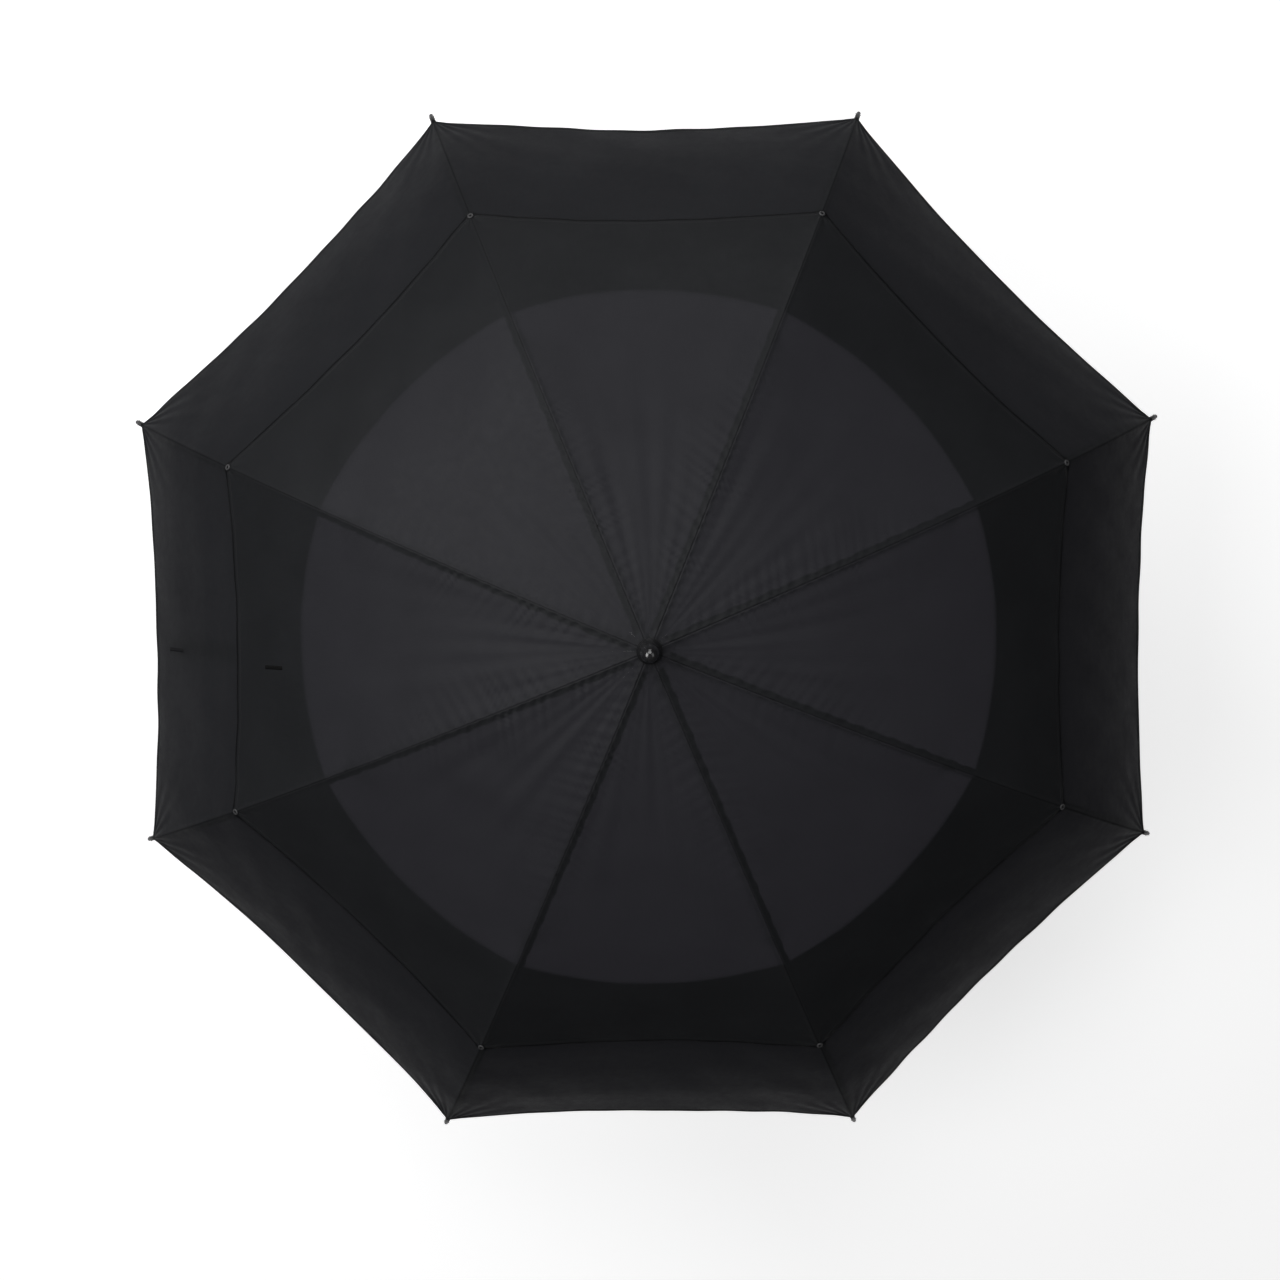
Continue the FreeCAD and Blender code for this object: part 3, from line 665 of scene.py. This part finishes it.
def strap_webbing():
    """The strap that is wrapped around the closed umbrella, sewn on at its outer end."""
    section = strap_section()
    middle = np.linspace(STRAP_OUTER - 0.0006, STRAP_INNER + 0.0006, 90)
    along = np.concatenate([[STRAP_OUTER], middle, [STRAP_INNER]])
    share = strap_share(along)
    cup = STRAP_CUP * np.sin(math.pi * section[:, 0])[None, :]
    cup = cup * smooth_step(share, 0.1, 0.4)[:, None]
    thin = np.ones_like(share)
    thin[[0, -1]] = STRAP_END_THIN
    through = 0.5 + (section[:, 1] - 0.5)[None, :] * thin[:, None]
    below = strap_drop(share)[:, None] + STRAP_THICK * through + cup
    width = strap_width(section[:, 0], share)
    lengthways = np.broadcast_to(along[:, None], below.shape)
    points = strap_surface(lengthways, width, below)
    rows, count = below.shape
    faces = grid_faces(rows, count, closed=True).tolist()
    faces += [list(range(count))[::-1], [(rows - 1) * count + n for n in range(count)]]
    mesh = mesh_from("strap", points.reshape(-1, 3), faces)
    across = np.minimum(section[:, 0], 1 - section[:, 0]) * (STRAP_FAR - STRAP_NEAR)
    end = np.minimum(STRAP_OUTER - along, along - STRAP_INNER)
    set_float(mesh, "from_edge", np.minimum(across[None, :], end[:, None]))
    set_float(mesh, "lengthways", lengthways)
    return new_object("strap", mesh)


def strap_patch():
    """The hook-and-loop patch on the underside of the strap's free end."""
    along = np.linspace(STRAP_INNER + PATCH_FROM, STRAP_INNER + PATCH_TO, PATCH_ROWS)
    share = strap_share(along)
    columns = np.linspace(0.10, 0.90, PATCH_COLUMNS)
    row, column = np.arange(PATCH_ROWS), np.arange(PATCH_COLUMNS)
    rim = np.minimum(np.minimum(row, row[::-1])[:, None],
                     np.minimum(column, column[::-1])[None, :])
    bulge = STRAP_CUP * np.sin(math.pi * columns)[None, :]
    proud = PATCH_PROUD * np.clip(rim / 2, 0, 1)
    under = (strap_drop(share) + STRAP_THICK)[:, None]
    lengthways = np.broadcast_to(along[:, None], rim.shape)
    below = under + bulge + proud - 0.0001
    points = strap_surface(lengthways, strap_width(columns, share), below)
    faces = grid_faces(PATCH_ROWS, PATCH_COLUMNS)[:, ::-1].tolist()
    mesh = mesh_from("strap_patch", points.reshape(-1, 3), faces)
    set_float(mesh, "from_edge", rim * 0.001)
    return new_object("strap_patch", mesh)


GRIP_BORE = 0.0107


def foam_grip():
    """The foam sleeve, with eased ends and the faint waviness of a sleeve pushed over a core."""
    low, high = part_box("grip")
    radius = high.x
    # How far from an end, and how far inside the outer radius the surface is there.
    ease = [(0.0, 0.0026), (0.0003, 0.0016), (0.0010, 0.0007), (0.0020, 0.0002)]
    heights = np.linspace(low.z + 0.004, high.z - 0.004, 90)
    profile = [(GRIP_BORE, low.z)] + [(radius - back, low.z + up) for up, back in ease]
    profile += [(radius - 0.00012 - 0.00010 * math.sin(z * 330) * math.sin(z * 71), z)
                for z in heights]
    profile += [(radius - back, high.z - up) for up, back in ease[::-1]]
    profile += [(GRIP_BORE, high.z), (GRIP_BORE, low.z)]
    return new_object("foam_grip", lathe_mesh("foam_grip", profile, 96))


# ---- materials ----


class Shader:
    """A material being made from nodes."""

    def __init__(self, name):
        self.material = bpy.data.materials.new(name)
        self.material.use_nodes = True
        self.tree = self.material.node_tree
        self.tree.nodes.clear()

    def put(self, socket, value):
        """Link a node's output to a socket, or set the socket to a plain value."""
        if isinstance(value, bpy.types.NodeSocket):
            self.tree.links.new(value, socket)
        else:
            socket.default_value = value

    def node(self, kind, inputs=None, **settings):
        """A new node, with its inputs and settings."""
        made = self.tree.nodes.new("ShaderNode" + kind)
        for name, value in settings.items():
            setattr(made, name, value)
        for name, value in (inputs or {}).items():
            self.put(made.inputs[name], value)
        return made

    def math(self, operation, *values):
        made = self.node("Math", operation=operation)
        for socket, value in zip(made.inputs, values):
            self.put(socket, value)
        return made.outputs[0]

    def number(self, name):
        """What a mesh carries at each vertex."""
        return self.node("Attribute", attribute_name=name).outputs["Fac"]

    def where(self):
        """The place on the object, in metres."""
        return self.node("TexCoord").outputs["Object"]

    def stretched(self, vector, scale):
        return self.node("Mapping", {"Vector": vector, "Scale": scale}).outputs[0]

    def noise(self, vector, scale, detail=2.0, roughness=0.5):
        inputs = {"Vector": vector, "Scale": scale, "Detail": detail, "Roughness": roughness}
        return self.node("TexNoise", inputs).outputs["Fac"]

    def cells(self, vector, scale):
        """The distance from the nearest of some scattered points."""
        return self.node("TexVoronoi", {"Vector": vector, "Scale": scale}).outputs["Distance"]

    def ramp(self, value, low, high, start=0.0, end=1.0):
        """A value or, with colours for low and high, a colour that runs between them."""
        if isinstance(low, tuple):
            made = self.node("MapRange", {"Value": value, "From Min": start, "From Max": end})
            return self.blend(made.outputs[0], low, high)
        made = self.node("MapRange", {"Value": value, "From Min": start, "From Max": end,
                                      "To Min": low, "To Max": high})
        return made.outputs[0]

    def blend(self, factor, first, second):
        """The first colour at a factor of 0 and the second at 1."""
        mixed = self.node("Mix", data_type="RGBA")
        self.put(mixed.inputs["Factor"], factor)
        for socket, colour in ((mixed.inputs[6], first), (mixed.inputs[7], second)):
            self.put(socket, (*colour, 1) if isinstance(colour, tuple) else colour)
        return mixed.outputs[2]

    def bump(self, height, strength, distance, normal=None):
        made = self.node("Bump", {"Height": height, "Strength": strength, "Distance": distance})
        if normal is not None:
            self.put(made.inputs["Normal"], normal)
        return made.outputs[0]

    def principled(self, **inputs):
        names = {name.replace("_", " "): value for name, value in inputs.items()}
        return self.node("BsdfPrincipled", names)

    def done(self, shader):
        """The material, with its surface."""
        out = self.node("OutputMaterial")
        self.tree.links.new(shader.outputs[0], out.inputs["Surface"])
        return self.material

    def sine(self, value, period):
        """A sine from 0 to 1."""
        turn = self.math("MULTIPLY", value, 2 * math.pi / period)
        return self.math("MULTIPLY_ADD", self.math("SINE", turn), 0.5, 0.5)

    def line(self, value, centre, half_width):
        """1 on a line and 0 away from it."""
        away = self.math("ABSOLUTE", self.math("SUBTRACT", value, centre))
        return self.ramp(away, 1.0, 0.0, half_width * 0.4, half_width)


def times(colour, factor):
    """A colour made darker or paler."""
    return tuple(factor * c for c in colour)


BLACK_CLOTH = (0.0190, 0.0198, 0.0216)
WORN_CLOTH = (0.030, 0.0305, 0.032)
LIGHT_THROUGH = (0.36, 0.33, 0.42, 1)
# Both canopies are the same cloth; the lower one lets less light through and shines less, as painted shade
# that darkens it.
THROUGH = {"upper": 0.035, "lower": 0.010}     # less for the lower canopy: painted shade
GLOSS = {"upper": 0.10, "lower": 0.04}
WARP_PITCH, WEFT_PITCH = 0.00052, 0.00058
HEM_STITCH, TAPE_STITCH = 0.0029, 0.0026       # a stitch's length


def canopy_cloth(name):
    """Thin plain-weave polyester: a fine weave, slubs, a sewn hem, and light that comes through."""
    s = Shader(f"{name}_canopy_weave")
    cut = s.node("UVMap", uv_map="cut").outputs[0]
    sides = s.node("SeparateXYZ", {"Vector": cut})
    u, v = sides.outputs[0], sides.outputs[1]
    from_hem, from_seam = s.number("from_hem"), s.number("from_seam")

    warp, weft = s.sine(u, WARP_PITCH), s.sine(v, WEFT_PITCH)
    weave = s.math("ABSOLUTE", s.math("SUBTRACT", warp, weft))
    slubs = s.noise(s.stretched(cut, (2200.0, 45.0, 1.0)), 1.0, 3.0, 0.6)
    ribs = s.noise(s.stretched(cut, (45.0, 2200.0, 1.0)), 1.0, 3.0, 0.6)
    crumple = s.noise(cut, 85.0, 4.0, 0.62)

    dash = s.ramp(s.sine(u, HEM_STITCH), 0.0, 1.0, 0.22, 0.42)
    sewn = s.math("MULTIPLY", s.line(from_hem, HEM_STITCHES, STITCH_LINE), dash)
    edge = s.ramp(from_hem, 1.0, 0.0, 0.0018, 0.0036)
    crown = s.ramp(from_seam, 1.0, 0.0, 0.0006, 0.0034)
    groove = s.ramp(from_seam, 1.0, 0.0, 0.0002, 0.0008)

    shade = s.math("MULTIPLY_ADD", s.noise(cut, 9.0, 3.0), 0.5, s.math("MULTIPLY", slubs, 0.5))
    colour = s.ramp(shade, times(BLACK_CLOTH, 0.82), times(BLACK_CLOTH, 1.22), 0.3, 0.7)
    wear = s.math("MULTIPLY", s.math("MULTIPLY", crown, 0.35), s.ramp(crumple, 0.3, 1.0, 0.35, 0.7))
    colour = s.blend(wear, colour, WORN_CLOTH)
    # Painted shade: the cloth turns near black in the seam's groove and along the hem's edge.
    shaded = s.math("MAXIMUM", s.math("MULTIPLY", groove, 0.7), s.math("MULTIPLY", edge, 0.8))
    colour = s.blend(shaded, colour, (0.004, 0.004, 0.0045))
    colour = s.blend(sewn, colour, (0.030, 0.030, 0.032))

    height = s.math("MULTIPLY_ADD", crumple, 3.0, s.math("ADD", slubs, ribs))
    normal = s.bump(height, 0.35, 0.00016)
    normal = s.bump(weave, 0.30, 0.00006, normal)
    normal = s.bump(sewn, 0.6, 0.00025, normal)
    rough = s.ramp(crumple, 0.42, 0.54, 0.3, 0.7)
    surface = s.principled(Base_Color=colour, Roughness=rough, Normal=normal, Sheen_Weight=0.02,
                           Sheen_Roughness=0.35, Sheen_Tint=(0.75, 0.75, 0.82, 1),
                           Specular_IOR_Level=GLOSS[name])
    through = s.node("BsdfTranslucent", {"Color": LIGHT_THROUGH, "Normal": normal})
    mixed = s.node("MixShader", {"Fac": THROUGH[name]})
    s.tree.links.new(surface.outputs[0], mixed.inputs[1])
    s.tree.links.new(through.outputs[0], mixed.inputs[2])
    return s.done(mixed)


def tape_cloth(name, colour, pitch):
    """Folded or woven tape with a row of stitches beside its edges."""
    s = Shader(name)
    along, where = s.number("lengthways"), s.where()
    from_edge = s.number("from_edge")
    warp = s.sine(along, pitch)
    grain = s.noise(s.stretched(where, (900.0, 900.0, 900.0)), 1.0, 3.0)
    dash = s.ramp(s.sine(along, TAPE_STITCH), 0.0, 1.0, 0.25, 0.45)
    sewn = s.math("MULTIPLY", s.line(from_edge, 0.0021, 0.00045), dash)
    base = s.ramp(grain, times(colour, 0.7), times(colour, 1.4), 0.3, 0.7)
    base = s.blend(s.ramp(from_edge, 0.5, 0.0, 0.0, 0.0008), base, times(colour, 2.2))
    base = s.blend(sewn, base, (0.035, 0.035, 0.037))
    normal = s.bump(warp, 0.4, 0.00012)
    normal = s.bump(grain, 0.3, 0.00015, normal)
    normal = s.bump(sewn, 0.8, 0.0003, normal)
    return s.done(s.principled(Base_Color=base, Roughness=s.ramp(grain, 0.62, 0.78), Normal=normal,
                               Sheen_Weight=0.25, Sheen_Roughness=0.4))


def hook_patch():
    """The hook-and-loop patch: short stiff loops with a sewn border."""
    s = Shader("hook_patch")
    where = s.where()
    loops = s.cells(where, 1500.0)
    clumps = s.noise(where, 260.0, 3.0)
    from_edge = s.number("from_edge")
    base = s.ramp(loops, (0.030, 0.030, 0.032), (0.008, 0.008, 0.009), 0.0, 0.7)
    base = s.blend(s.line(from_edge, 0.002, 0.0006), base, (0.04, 0.04, 0.042))
    normal = s.bump(loops, 0.9, 0.0005)
    normal = s.bump(clumps, 0.4, 0.0005, normal)
    return s.done(s.principled(Base_Color=base, Roughness=s.ramp(clumps, 0.7, 0.92), Normal=normal,
                               Sheen_Weight=0.5, Sheen_Roughness=0.5))


def sewing_thread(name, dark, pale):
    """Twisted black polyester thread."""
    s = Shader(name)
    where = s.where()
    twist = s.node("TexWave", {"Vector": where, "Scale": 620.0, "Distortion": 1.5},
                   bands_direction="DIAGONAL")
    fuzz = s.noise(where, 3200.0, 2.0)
    base = s.ramp(fuzz, dark, pale, 0.3, 0.7)
    normal = s.bump(twist.outputs["Fac"], 0.5, 0.0001)
    return s.done(s.principled(Base_Color=base, Roughness=s.ramp(fuzz, 0.62, 0.80), Normal=normal,
                               Specular_IOR_Level=0.15))


def eyelet_plastic():
    """The corner buttons: grey nylon, paler than the cloth."""
    s = Shader("eyelet_nylon")
    where = s.where()
    grain = s.noise(where, 900.0, 3.0)
    base = s.ramp(grain, (0.050, 0.050, 0.053), (0.085, 0.085, 0.088), 0.3, 0.7)
    return s.done(s.principled(Base_Color=base, Roughness=s.ramp(grain, 0.32, 0.48),
                               Normal=s.bump(grain, 0.2, 0.0001)))


def drawn_rod(name, colour, gloss):
    """Pultruded fibreglass: fine streaks along the rod under a semi-gloss resin skin."""
    s = Shader(name)
    where = s.where()
    streaks = s.noise(s.stretched(where, (520.0, 520.0, 14.0)), 1.0, 4.0, 0.6)
    scuffs = s.noise(where, 70.0, 5.0, 0.7)
    base = s.ramp(streaks, times(colour, 0.6), times(colour, 1.7), 0.3, 0.7)
    base = s.blend(s.ramp(scuffs, 0.0, 0.55, 0.62, 0.78), base, (0.055, 0.055, 0.058))
    normal = s.bump(streaks, 0.25, 0.00012)
    rough = s.math("ADD", s.ramp(streaks, gloss - 0.05, gloss + 0.07), s.ramp(scuffs, 0.0, 0.12, 0.5, 0.8))
    return s.done(s.principled(Base_Color=base, Roughness=rough, Normal=normal, Coat_Weight=0.25,
                               Coat_Roughness=0.2))


def coated_steel(name, dark, bright, metal, rough_low, rough_high):
    """Pressed or drawn steel with a finish that is rubbed bright in places."""
    s = Shader(name)
    where = s.where()
    brushed = s.noise(s.stretched(where, (900.0, 900.0, 60.0)), 1.0, 4.0, 0.6)
    rubbed = s.noise(where, 130.0, 6.0, 0.7)
    base = s.blend(s.ramp(rubbed, 0.0, 1.0, 0.44, 0.66), dark, bright)
    normal = s.bump(brushed, 0.2, 0.00008)
    normal = s.bump(rubbed, 0.2, 0.00015, normal)
    rough = s.ramp(rubbed, rough_low, rough_high, 0.3, 0.7)
    return s.done(s.principled(Base_Color=base, Metallic=metal, Roughness=rough, Normal=normal))


def moulded(name, colour, rough_low, rough_high, grain_scale=700.0, depth=0.0001, coat=0.0):
    """Injection-moulded plastic with a fine spark-eroded grain and handling marks."""
    s = Shader(name)
    where = s.where()
    grain = s.noise(where, grain_scale, 3.0, 0.55)
    marks = s.noise(where, 45.0, 6.0, 0.7)
    base = s.ramp(marks, times(colour, 0.75), times(colour, 1.35), 0.3, 0.7)
    base = s.blend(s.ramp(grain, 0.0, 0.25, 0.5, 0.8), base, times(colour, 2.6))
    normal = s.bump(grain, 0.25, depth)
    rough = s.ramp(marks, rough_low, rough_high, 0.3, 0.7)
    return s.done(s.principled(Base_Color=base, Roughness=rough, Normal=normal, Coat_Weight=coat,
                               Coat_Roughness=0.08))


def foam(name, colour):
    """Closed-cell foam: fine cells, a slight skin and palm wear."""
    s = Shader(name)
    where = s.where()
    cell = s.cells(where, 1300.0)
    coarse = s.noise(where, 420.0, 4.0, 0.65)
    palm = s.noise(s.stretched(where, (16.0, 16.0, 9.0)), 1.0, 4.0)
    base = s.ramp(coarse, times(colour, 0.6), times(colour, 1.5), 0.3, 0.7)
    base = s.blend(s.ramp(palm, 0.0, 0.5, 0.5, 0.75), base, times(colour, 2.0))
    normal = s.bump(cell, 0.5, 0.0003)
    normal = s.bump(coarse, 0.4, 0.0004, normal)
    return s.done(s.principled(Base_Color=base, Roughness=s.ramp(palm, 0.75, 0.95),
                               Normal=normal, Sheen_Weight=0.15))


CAD_MATERIALS = {            # by the record's slot: the kind of material and what it is given
    "rib_rod": (drawn_rod, "fibreglass_rib", (0.018, 0.018, 0.020), 0.34),
    "shaft_tube": (drawn_rod, "fibreglass_shaft", (0.013, 0.013, 0.015), 0.28),
    "stamped_steel": (coated_steel, "black_coated_steel", (0.035, 0.036, 0.040),
                      (0.16, 0.16, 0.17), 0.85, 0.36, 0.52),
    "spring_steel": (coated_steel, "spring_steel", (0.42, 0.42, 0.44), (0.62, 0.62, 0.64),
                     1.0, 0.22, 0.38),
    "wire_steel": (coated_steel, "wire_steel", (0.36, 0.36, 0.37), (0.55, 0.55, 0.56),
                   1.0, 0.26, 0.42),
    "moulded_plastic": (moulded, "satin_nylon", (0.016, 0.016, 0.017), 0.38, 0.55),
    "ferrule_plastic": (moulded, "gloss_plastic", (0.012, 0.012, 0.013), 0.16, 0.28, 300.0,
                        0.00004, 1.0),
    "tip_plastic": (moulded, "tip_plastic", (0.012, 0.012, 0.013), 0.30, 0.46),
}


def dress_cad_nodes():
    """Each CAD node that stays in view gets its material in its own slot."""
    made = {slot: kind(*given) for slot, (kind, *given) in CAD_MATERIALS.items()}
    for node in frame["nodes"].values():
        for index, material in enumerate(node.data.materials):
            slot = material.name.split(".")[0]
            if slot in made:
                node.data.materials[index] = made[slot]


# ---- the pieces ----


def add_canopies(tape):
    """All the strips, with their seam allowances, in place of the CAD canopies."""
    for canopy in (UPPER, LOWER):
        cloth = canopy_cloth(canopy["name"])
        for number in range(1, RIB_COUNT + 1):
            sheet = strip(canopy, number)
            seam = seam_allowance(canopy, number)
            sheet.data.materials.append(cloth)
            seam.data.materials.append(tape)
            for piece in (sheet, seam):
                fold_with_cloth(piece, number)
            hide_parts(f"{canopy['name']}_canopy_{number}")


def add_rib_trim(thread, button):
    """The ties, tip threads and corner buttons, which ride on the ribs."""
    for number in range(1, RIB_COUNT + 1):
        body = f"rib_{number}_body"
        eyelet, knot = corner_button(number)
        eyelet.data.materials.append(button)
        pieces = [eyelet, knot, rib_ties(number), tip_thread(number)]
        for piece in pieces[1:]:
            piece.data.materials.append(thread)
        for piece in pieces:
            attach(piece, body)


def add_strap(strap_cloth, patch_cloth, thread, tack_thread):
    """The strap, with its patch, and two bar tacks of its panel, in place of the CAD strap."""
    strap, patch = strap_webbing(), strap_patch()
    strap.data.materials.append(strap_cloth)
    patch.data.materials.append(patch_cloth)
    outer = bar_tack("bar_tack_outer", LOWER, STRAP_RIB, 0.661, 0.0165, 0.034)
    inner = bar_tack("bar_tack_inner", UPPER, STRAP_RIB, 0.451, 0.0265, 0.028)
    outer.data.materials.append(thread)
    inner.data.materials.append(tack_thread)
    for piece in (strap, patch, outer):
        fold_with_cloth(piece, STRAP_RIB)
    fold_with_cloth(inner, STRAP_RIB)
    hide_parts("closing_strap")


def add_grip(material):
    """The foam grip, in place of its plain CAD solid."""
    grip = foam_grip()
    grip.data.materials.append(material)
    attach(grip, "stem")
    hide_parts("grip")


# ---- the stage, lights and camera ----

APEX = Vector((0, 0, HINGE_Z))
FLOOR_RADIUS = 1.6
FLOOR_Z = -0.0005           # just clear of the handle's end
FLOOR_GLOW = 0.66
SURROUND = 0.05             # the dim light from all round
BACKDROP = 0.98             # the pale backdrop, as the camera sees it beyond the floor
LIGHTS = [   # name, compass direction and elevation in degrees, power
    ("back_low", 90, 10, 8),
    ("back_high", 90, 58, 16),
    ("back_left", 135, 32, 24),
    ("left_high", 180, 58, 25),
    ("right_high", 0, 58, 4),
]
LIGHT_DISTANCE = 2.8
LIGHT_SIZE = (1.4, 1.2)


def floor():
    """A plain pale floor."""
    mesh = lathe_mesh("floor", [(radius, FLOOR_Z) for radius in (FLOOR_RADIUS, 1.0, 0.5, 0)], 96)
    obj = new_object("floor", mesh)
    s = Shader("pale_floor")
    where = s.where()
    tone = s.noise(where, 1.3, 2.0)
    colour = s.ramp(tone, (0.90, 0.90, 0.905), (0.93, 0.93, 0.93), 0.3, 0.7)
    surface = s.principled(Base_Color=colour, Roughness=0.85, Emission_Color=(1, 1, 1, 1),
                           Emission_Strength=FLOOR_GLOW, Normal=s.bump(s.noise(where, 60.0), 0.05, 0.001))
    obj.data.materials.append(s.done(surface))


def softbox(name, towards, elevation, power):
    """A soft light at a compass direction and height, aimed at the canopy."""
    data = bpy.data.lights.new(name, "AREA")
    data.shape = "RECTANGLE"
    data.size, data.size_y = LIGHT_SIZE
    data.energy = power
    light = bpy.data.objects.new(name, data)
    bpy.context.scene.collection.objects.link(light)
    level = math.cos(elevation)
    way = Vector((math.cos(towards) * level, math.sin(towards) * level, math.sin(elevation)))
    light.location = APEX + way * LIGHT_DISTANCE
    light.rotation_euler = way.to_track_quat("Z", "Y").to_euler()
    light.visible_camera = False


def light_scene():
    """Soft studio light: a dim surround, a pale backdrop that only the camera sees, softboxes."""
    world = bpy.data.worlds.new("studio")
    world.use_nodes = True
    tree = world.node_tree
    dim, seen = tree.nodes["Background"], tree.nodes.new("ShaderNodeBackground")
    for background, strength in ((dim, SURROUND), (seen, BACKDROP)):
        background.inputs["Color"].default_value = (1.0, 1.0, 1.0, 1)
        background.inputs["Strength"].default_value = strength
    path = tree.nodes.new("ShaderNodeLightPath")
    either = tree.nodes.new("ShaderNodeMixShader")
    tree.links.new(path.outputs["Is Camera Ray"], either.inputs[0])
    tree.links.new(dim.outputs[0], either.inputs[1])
    tree.links.new(seen.outputs[0], either.inputs[2])
    tree.links.new(either.outputs[0], tree.nodes["World Output"].inputs["Surface"])
    bpy.context.scene.world = world
    for name, towards, elevation, power in LIGHTS:
        softbox(name, math.radians(towards), math.radians(elevation), power)
    bpy.context.scene.view_settings.view_transform = "Standard"


LENS = 39.5
CAMERA_DISTANCE = 1.504
CAMERA_AIM_Z = HINGE_Z - 0.153
CAMERA_TILT = math.radians(3.74)
CAMERA_ROLL = math.radians(0.32)
CAMERA_ASIDE = (0.0091, -0.0004)


def add_camera():
    """Almost straight down the shaft, as a product is photographed from above."""
    data = bpy.data.cameras.new("camera")
    data.lens = LENS
    data.clip_start, data.clip_end = 0.01, 100.0
    camera = bpy.data.objects.new("camera", data)
    bpy.context.scene.collection.objects.link(camera)
    to_camera = Matrix.Rotation(CAMERA_TILT, 3, "X") @ Matrix.Rotation(CAMERA_ROLL, 3, "Z")
    from_camera = to_camera.transposed()
    aim = Vector((0, 0, CAMERA_AIM_Z))
    camera.location = aim - from_camera @ Vector((*CAMERA_ASIDE, -CAMERA_DISTANCE))
    camera.rotation_euler = from_camera.to_euler()
    bpy.context.scene.camera = camera


thread = sewing_thread("sewing_thread", (0.007, 0.007, 0.008), (0.018, 0.018, 0.020))
tack_thread = sewing_thread("tack_thread", (0.002, 0.002, 0.002), (0.005, 0.005, 0.005))
tape = tape_cloth("seam_tape", (0.012, 0.012, 0.013), 0.0006)
add_canopies(tape)
add_rib_trim(thread, eyelet_plastic())
strap_cloth = tape_cloth("strap_webbing", (0.013, 0.013, 0.014), 0.0011)
add_strap(strap_cloth, hook_patch(), thread, tack_thread)
add_grip(foam("grip_foam", (0.015, 0.015, 0.016)))
dress_cad_nodes()
floor()
light_scene()
add_camera()
